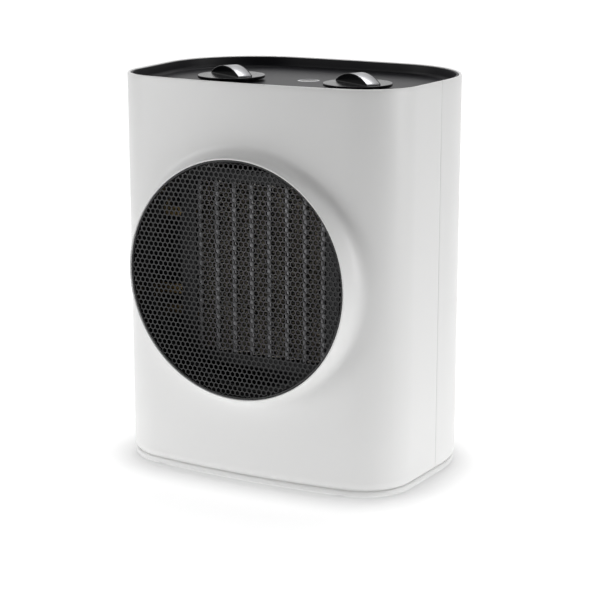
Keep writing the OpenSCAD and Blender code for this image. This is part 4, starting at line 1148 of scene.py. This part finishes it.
# %% Grille tree
def grille_tree():
    tree, given = start_geometry(
        "Honeycomb grille", Cell_Pitch="Float", Bar_Width="Float", Thickness="Float",
        Field_Radius="Float", Centre="Vector")
    pitch, field_r = given["Cell Pitch"], given["Field Radius"]
    hexagon = add(tree, "MeshCircle", {"Vertices": 6, "Radius": pitch / math.sqrt(3)},
                  fill_type="NGON")
    inset = add(tree, "ExtrudeMesh", {"Mesh": hexagon, "Offset Scale": 0.0}, mode="FACES")
    opening = (pitch - given["Bar Width"]) / pitch
    shrunk = add(tree, "ScaleElements", {
        "Geometry": inset, "Selection": inset["Top"], "Scale": opening}, domain="FACE")
    cell = add(tree, "DeleteGeometry", {"Geometry": shrunk, "Selection": inset["Top"]},
               domain="FACE")
    cell = moved(tree, cell, Rotation=(0, 0, math.pi / 6))
    cell = moved(tree, cell, Rotation=(math.pi / 2, 0, 0))
    columns = maths("CEIL", field_r / pitch) * 2.0 + 3.0
    row_step = pitch * math.sin(math.radians(60))
    rows = maths("CEIL", field_r / row_step) * 2.0 + 1.0
    number = add(tree, "InputIndex")
    row = maths("FLOOR", (number + 0.5) / columns)
    column = number - row * columns
    x = (row % 2.0 * 0.5 + (column - (columns - 1.0) * 0.5)) * pitch
    z = (row - (rows - 1.0) * 0.5) * row_step
    outside = maths("GREATER_THAN", maths("SQRT", x ** 2.0 + z ** 2.0), field_r)
    cells = lay(tree, rows * columns, vector(tree, x, 0.0, z), cell, outside)
    web = add(tree, "MergeByDistance", {
        "Geometry": add(tree, "RealizeInstances", {"Geometry": cells}), "Distance": tiny})
    # bars that reach past the field are drawn in to its edge, under the grille's plain rim
    here = add(tree, "InputPosition")
    reach = add(tree, "VectorMath", {0: here}, operation="LENGTH")["Value"]
    drawn = scaled(tree, here, maths("MINIMUM", 1.0, field_r / reach))
    web = add(tree, "SetPosition", {"Geometry": web, "Position": drawn})
    front = add(tree, "ExtrudeMesh", {
        "Mesh": web, "Offset": (0.0, -1.0, 0.0), "Offset Scale": given["Thickness"],
        "Individual": False}, mode="FACES")
    back = add(tree, "FlipFaces", {"Mesh": web})
    solid = add(tree, "MergeByDistance", {
        "Geometry": together(tree, front, back), "Distance": tiny})
    return end_geometry(tree, given, together(
        tree, moved(tree, solid, Translation=given["Centre"]), given["Geometry"]))


GRILLE = grille_tree()
print("Nodes in the grille's tree:", len(GRILLE.nodes))

# %% Grille with its rim and skirt
sheet_t, sheet_sunk = 0.7 * MM, 0.2 * MM
rim_in = grille_r - 1.15 * MM
rim_section = [(rim_in, grille_low.y + 0.1 * MM), (rim_in + 0.2 * MM, grille_low.y)]
rim_section += bend_at(grille_r, grille_low.y, (-0.5, 0), (0, 0.5))
# the skirt ends in a hem that hides the white ledge of the shell behind it
hem_in, hem_front = rim_in - 2.8 * MM, grille_high.y - 0.5 * MM
rim_section += [(grille_r, grille_high.y), (hem_in, grille_high.y), (hem_in, hem_front),
                (rim_in, hem_front)]
grille = turned("honeycomb_grille", rim_section, "grille_black", 192, (0, 0, axis_z), "Y")
grow(grille, GRILLE, Cell_Pitch=3.38 * MM, Bar_Width=0.8 * MM, Thickness=sheet_t,
     Field_Radius=grille_r - MM, Centre=(0.0, grille_low.y + sheet_sunk + sheet_t, axis_z))
settle(grille, "grille_black", "housing", "front_grille")

# %% [markdown]
# ## The heating core
# Behind the grille stands the core: upright aluminium tubes that hold the ceramic heating stones,
# with a folded fin strip between each two. One tree lays any number of copies in a row. The fin
# strip has a tree of its own, which bends a straight line of points into a zigzag and sweeps a
# thin section along it.

# %% Row tree and fin tree
def row_tree():
    tree, given = start_geometry("Copies in a row", Count="Int", Pitch="Float", Centre="Vector")
    middle = (given["Count"] - 1.0) * 0.5
    x = (add(tree, "InputIndex") - middle) * given["Pitch"]
    place = add(tree, "VectorMath", {0: vector(tree, x), 1: given["Centre"]})
    return end_geometry(tree, given, lay(tree, given["Count"], place, given["Geometry"]))


def fin_tree():
    tree, given = start_geometry(
        "Folded fin", Strip_Width="Float", Height="Float", Folds="Int", Sheet="Float",
        Depth="Float")
    number = add(tree, "InputIndex")
    x = (number % 2.0 * 2.0 - 1.0) * (given["Strip Width"] * 0.5)
    z = number * (given["Height"] / given["Folds"]) - given["Height"] * 0.5
    zigzag = add(tree, "SetPosition", {
        "Geometry": add(tree, "MeshLine", {"Count": given["Folds"] + 1.0}),
        "Position": vector(tree, x, 0.0, z)})
    section = add(tree, "CurvePrimitiveQuadrilateral", {
        "Width": given["Depth"], "Height": given["Sheet"]})
    return end_geometry(tree, given, add(tree, "CurveToMesh", {
        "Curve": add(tree, "MeshToCurve", {"Mesh": zigzag}), "Profile Curve": section,
        "Fill Caps": True}))


ROW, FIN = row_tree(), fin_tree()
print("Nodes in the two trees:", len(ROW.nodes), "and", len(FIN.nodes))

# %% Core bars and fins
bars_low, bars_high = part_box("heater_bars")
core_centre = (bars_low + bars_high) / 2
core_depth, core_half = bars_high.y - bars_low.y, (bars_high.z - bars_low.z) / 2
bar_count, bar_w, bar_wall, bar_edge = 8, 3 * MM, 0.5 * MM, 0.45 * MM
bar_pitch = (bars_high.x - bars_low.x - bar_w) / (bar_count - 1)


def tube_ring(inset, radius, z):
    """The outline of a bar with rounded corners, an inset from its outside."""
    half_x, half_y = bar_w / 2 - inset - radius, core_depth / 2 - inset - radius
    ring = []
    for sx, sy, start in ((1, 1, 0), (-1, 1, 90), (-1, -1, 180), (1, -1, 270)):
        for turn in (0, 30, 60, 90):
            swing = facing(math.radians(start + turn)) * radius
            ring.append((half_x * sx + swing.x, half_y * sy + swing.y, z))
    return ring


bars = piece("core_bars", *net([
    tube_ring(0, bar_edge, -core_half), tube_ring(0, bar_edge, core_half),
    tube_ring(bar_wall, bar_edge / 2, core_half), tube_ring(bar_wall, bar_edge / 2, -core_half)],
    looped=True), "aluminium_bar")
grow(bars, ROW, Count=bar_count, Pitch=bar_pitch, Centre=core_centre)
settle(bars, "aluminium_bar", "housing", "heater_bars")

fins = piece("folded_fins", [], [], "aluminium_fin")
grow(fins, FIN, Strip_Width=bar_pitch - bar_w - 0.5 * MM, Height=2 * core_half - MM,
     Folds=110, Sheet=0.3 * MM, Depth=core_depth - 0.6 * MM)
grow(fins, ROW, Count=bar_count - 1, Pitch=bar_pitch, Centre=core_centre)
settle(fins, "aluminium_fin", "housing", "heater_fins")

# %% [markdown]
# ## Screws, feet and the cord's bushing
# Small fasteners look cheap when they are plain cylinders. One screw head is made with a rounded
# top and a cross recess, and a tree copies it to its four places. The feet are turned with
# rounded edges and two shallow rings on the sole. The bushing is a turned flange.

# %% Screw maker
def screw_head(name, radius, height, shank_r, shank_length):
    """A pan head with a cross recess, standing on its seat at z 0 with its shank below."""
    profile = [(0, -shank_length), (shank_r * 0.5, -shank_length),
               (shank_r, -shank_length + shank_r), (shank_r, 0), (radius * 0.98, 0)]
    profile += rounded_corner((radius, height), (radius, height * 0.35),
                              (radius * 0.45, height), 6)
    head = turned(name, profile + [(0, height)], "bright_steel", 32)
    arm, thick = radius * 0.62, radius * 0.13
    for along, across in ((arm, thick), (thick, arm)):
        rings = []
        for z, share in ((height * 0.35, 0.45), (height * 1.2, 1.0)):
            half_x, half_y = max(along * share, thick), max(across * share, thick)
            rings.append([(sx * half_x, sy * half_y, z)
                          for sx, sy in ((-1, -1), (1, -1), (1, 1), (-1, 1))])
        cut(head, piece("cross", *net(rings), "bright_steel"))
    return head


def point_to(made, quarter_turns, move):
    """Turns a mesh about X by quarter turns, then moves it."""
    for vertex in made.data.vertices:
        x, y, z = vertex.co
        for _ in range(quarter_turns):
            y, z = -z, y
        vertex.co = Vector((x, y, z)) + move


# %% Shell screws, base screws and feet
shell_screws = screw_head("shell_screw_heads", head_r, head_height, 1.5 * MM, seat_y + 11 * MM)
point_to(shell_screws, 3, Vector((0, seat_y, 0)))
grow(shell_screws, FOUR_CORNERS, 30, Centre=screw_centre, Spread=screw_spread)
settle(shell_screws, "bright_steel", "housing", "shell_screws")

base_screws = screw_head("base_screw_heads", base_head_r, 2.2 * MM, 1.4 * MM,
                         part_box("base_screws")[1].z - plinth_top)
point_to(base_screws, 2, Vector((0, 0, plinth_top)))
grow(base_screws, FOUR_CORNERS, 30, Centre=base_centre, Spread=base_spread)
settle(base_screws, "bright_steel", "housing", "base_screws")

foot_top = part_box("rubber_feet")[1].z
foot_profile = [(0, foot_top), (foot_r, foot_top), *bend_at(foot_r, 0, (0, 0.5), (-0.5, 0))]
for ring in (5.6 * MM, 3.0 * MM):
    foot_profile += offsets(ring, 0, [(0.5, 0), (0.3, 0.35), (-0.3, 0.35), (-0.5, 0)])
feet = turned("rubber_soles", foot_profile + [(0, 0)], "soft_rubber")
grow(feet, FOUR_CORNERS, 30, Centre=foot_centre, Spread=foot_spread)
settle(feet, "soft_rubber", "housing", "rubber_feet")

# %% Cord bushing
bore, neck = 3.7 * MM, 5 * MM
flange_back, flange_front = gland_high.y, gland_high.y - flange_t
gland_profile = [(bore, gland_low.y), (neck, gland_low.y), (neck, flange_front),
                 (flange_r, flange_front)]
gland_profile += bend_at(flange_r, flange_back, (0, -0.8), (-0.8, 0))
gland_profile += bend_at(bore, flange_back, (0.8, 0), (0, -0.8))
gland = turned("cord_bushing", gland_profile, "soft_rubber", 64, gland_centre, "Y")
settle(gland, "soft_rubber", "housing", "cord_gland")

# %% [markdown]
# ## The studio's world
# The heater stands in a plain white studio. The camera sees the world as white through Light Path,
# straight or in a mirror, while the light that the world sends out stays low. So the background is
# white and the lamps need not burn the pale plastic out.

# %% World
WHITE = (1, 1, 1, 1)


def clear_tree(owner):
    """The empty node tree of a world or a material."""
    owner.use_nodes = True
    owner.node_tree.nodes.clear()
    return owner.node_tree


def is_seen(tree):
    """1 for a ray that shows something to the camera, 0 for one that only gathers light."""
    rays = add(tree, "LightPath")
    return maths("MAXIMUM", rays["Is Camera Ray"], maths(
        "MAXIMUM", rays["Is Glossy Ray"], rays["Is Transmission Ray"]))


def choose(tree, output, lit, seen):
    """Ends a tree with one shader for gathered light and another for what is seen."""
    mixed = add(tree, "MixShader", {0: is_seen(tree), 1: lit, 2: seen})
    add(tree, output, {"Surface": mixed})


ambient_light, background = 0.20, 1.0
world = bpy.data.worlds.new("Studio")
scene.world = world
tree = clear_tree(world)
choose(tree, "OutputWorld", *(add(tree, "Background", {"Color": WHITE, "Strength": strength})
                              for strength in (ambient_light, background)))
print("World:", ambient_light, "as light,", background, "as seen")

# %% [markdown]
# ## The floor
# The floor has two looks as well. Seen directly it is partly its own white and partly lit, so it
# keeps the lamps' soft shadows and still fades into the white background. For the light that it
# gives back it is a glowing table round the heater, which fades out with distance: in a real
# studio a white table throws just such a light up onto the lower half of a product.
#
# A floor that glows would wash out the thin dark line where the plinth stands on it. Ambient
# occlusion tells how close the next surface is, so it darkens the glow near the plinth: in full in
# what is seen, as a painted contact shadow, and by half in what lights the heater.

# %% Floor
floor_half = 6.0
table_glow = 0.82
contact_reach = 0.03


def faded(tree, distance, end, low, high):
    """A smooth change with the distance from the middle, from the table's near edge on."""
    return remap(tree, distance, 0.15, end, low, high, interpolation_type="SMOOTHSTEP")


def shining(tree, grey, strength):
    """A matt surface of some grey that gives light of its own too."""
    matt = add(tree, "BsdfDiffuse", {"Color": (grey, grey, grey, 1)})
    glow = add(tree, "Emission", {"Color": WHITE, "Strength": strength})
    return add(tree, "AddShader", {0: matt, 1: glow})


corners = [(x * floor_half, y * floor_half, 0) for x, y in ((-1, -1), (1, -1), (1, 1), (-1, 1))]
floor = piece("studio_floor", corners, [(0, 1, 2, 3)], bpy.data.materials.new("Studio floor"))
tree = clear_tree(floor.data.materials[0])
distance = add(tree, "VectorMath", {0: add(tree, "TexCoord")["Object"]},
               operation="LENGTH")["Value"]
nearness = add(tree, "AmbientOcclusion", {"Distance": contact_reach}, samples=8)["AO"]
contact_shade = remap(tree, nearness, 0.4, 1.0, 0.4, 1.0)
# what the camera sees: the floor's own white, weaker near the heater and full far off, darkened
# near the plinth as a painted contact shadow
seen = shining(tree, 0.5, faded(tree, distance, 0.5, 0.76, 1.0) * contact_shade)
lighting = shining(tree, 0.75, (contact_shade * 0.5 + 0.5)
                   * (faded(tree, distance, 0.7, 1.0, 0.0) * table_glow))
choose(tree, "OutputMaterial", lighting, seen)
print("Floor:", 2 * floor_half, "m wide, with", len(tree.nodes), "nodes")

# %% [markdown]
# ## A dark card and four lamps
# Glossy black looks black only if it has something dark to mirror. A large dark card behind and
# above the camera gives the panel, the knobs and the grille that, and takes some light off the
# front. The camera itself doesn't see the card, so other views stay clear.
#
# A large soft lamp to the left lights the face, and a second one reaches the right side. A weak
# one above the front lifts the collar's upper lip, and one high above the back lays a sheen on the
# panel and on the tops of the knobs.

# %% Dark card and lamps
card_x, card_front, card_back, card_low, card_high = 2.6, -2.6, 0.6, 0.1, 2.4
card_corners = [(x, y, z) for y, z in (
    (card_front, card_low), (card_front, card_high), (card_back, card_high))
    for x in (-card_x, card_x)]
card = piece("dark_card", card_corners, [(0, 1, 3, 2), (2, 3, 5, 4)],
             even("Dark card", (0.02, 0.02, 0.02), Roughness=1.0))
card.visible_camera = False

lamps_aim = Vector((0, 0, 0.12))


def softbox(name, place, width, height, watts):
    """A rectangular area lamp that faces the heater."""
    lamp = bpy.data.objects.new(name, bpy.data.lights.new(name, "AREA"))
    lamp.data.shape = "RECTANGLE"
    lamp.data.size, lamp.data.size_y = width, height
    lamp.data.energy = watts
    lamp.location = place
    lamp.rotation_euler = (lamps_aim - Vector(place)).to_track_quat("-Z", "Y").to_euler()
    scene.collection.objects.link(lamp)
    print(f"{name}: {watts} W")


softbox("Left softbox", (-1.2, -1.2, 0.40), 0.9, 0.9, 11.4)
softbox("Right softbox", (1.6, 0.10, 0.25), 0.9, 0.8, 10.2)
softbox("Top softbox", (0.0, -0.25, 1.5), 0.8, 0.5, 2.5)
softbox("Back softbox", (-0.1, 0.45, 1.6), 0.9, 0.5, 12)
scene.view_settings.view_transform = "Standard"
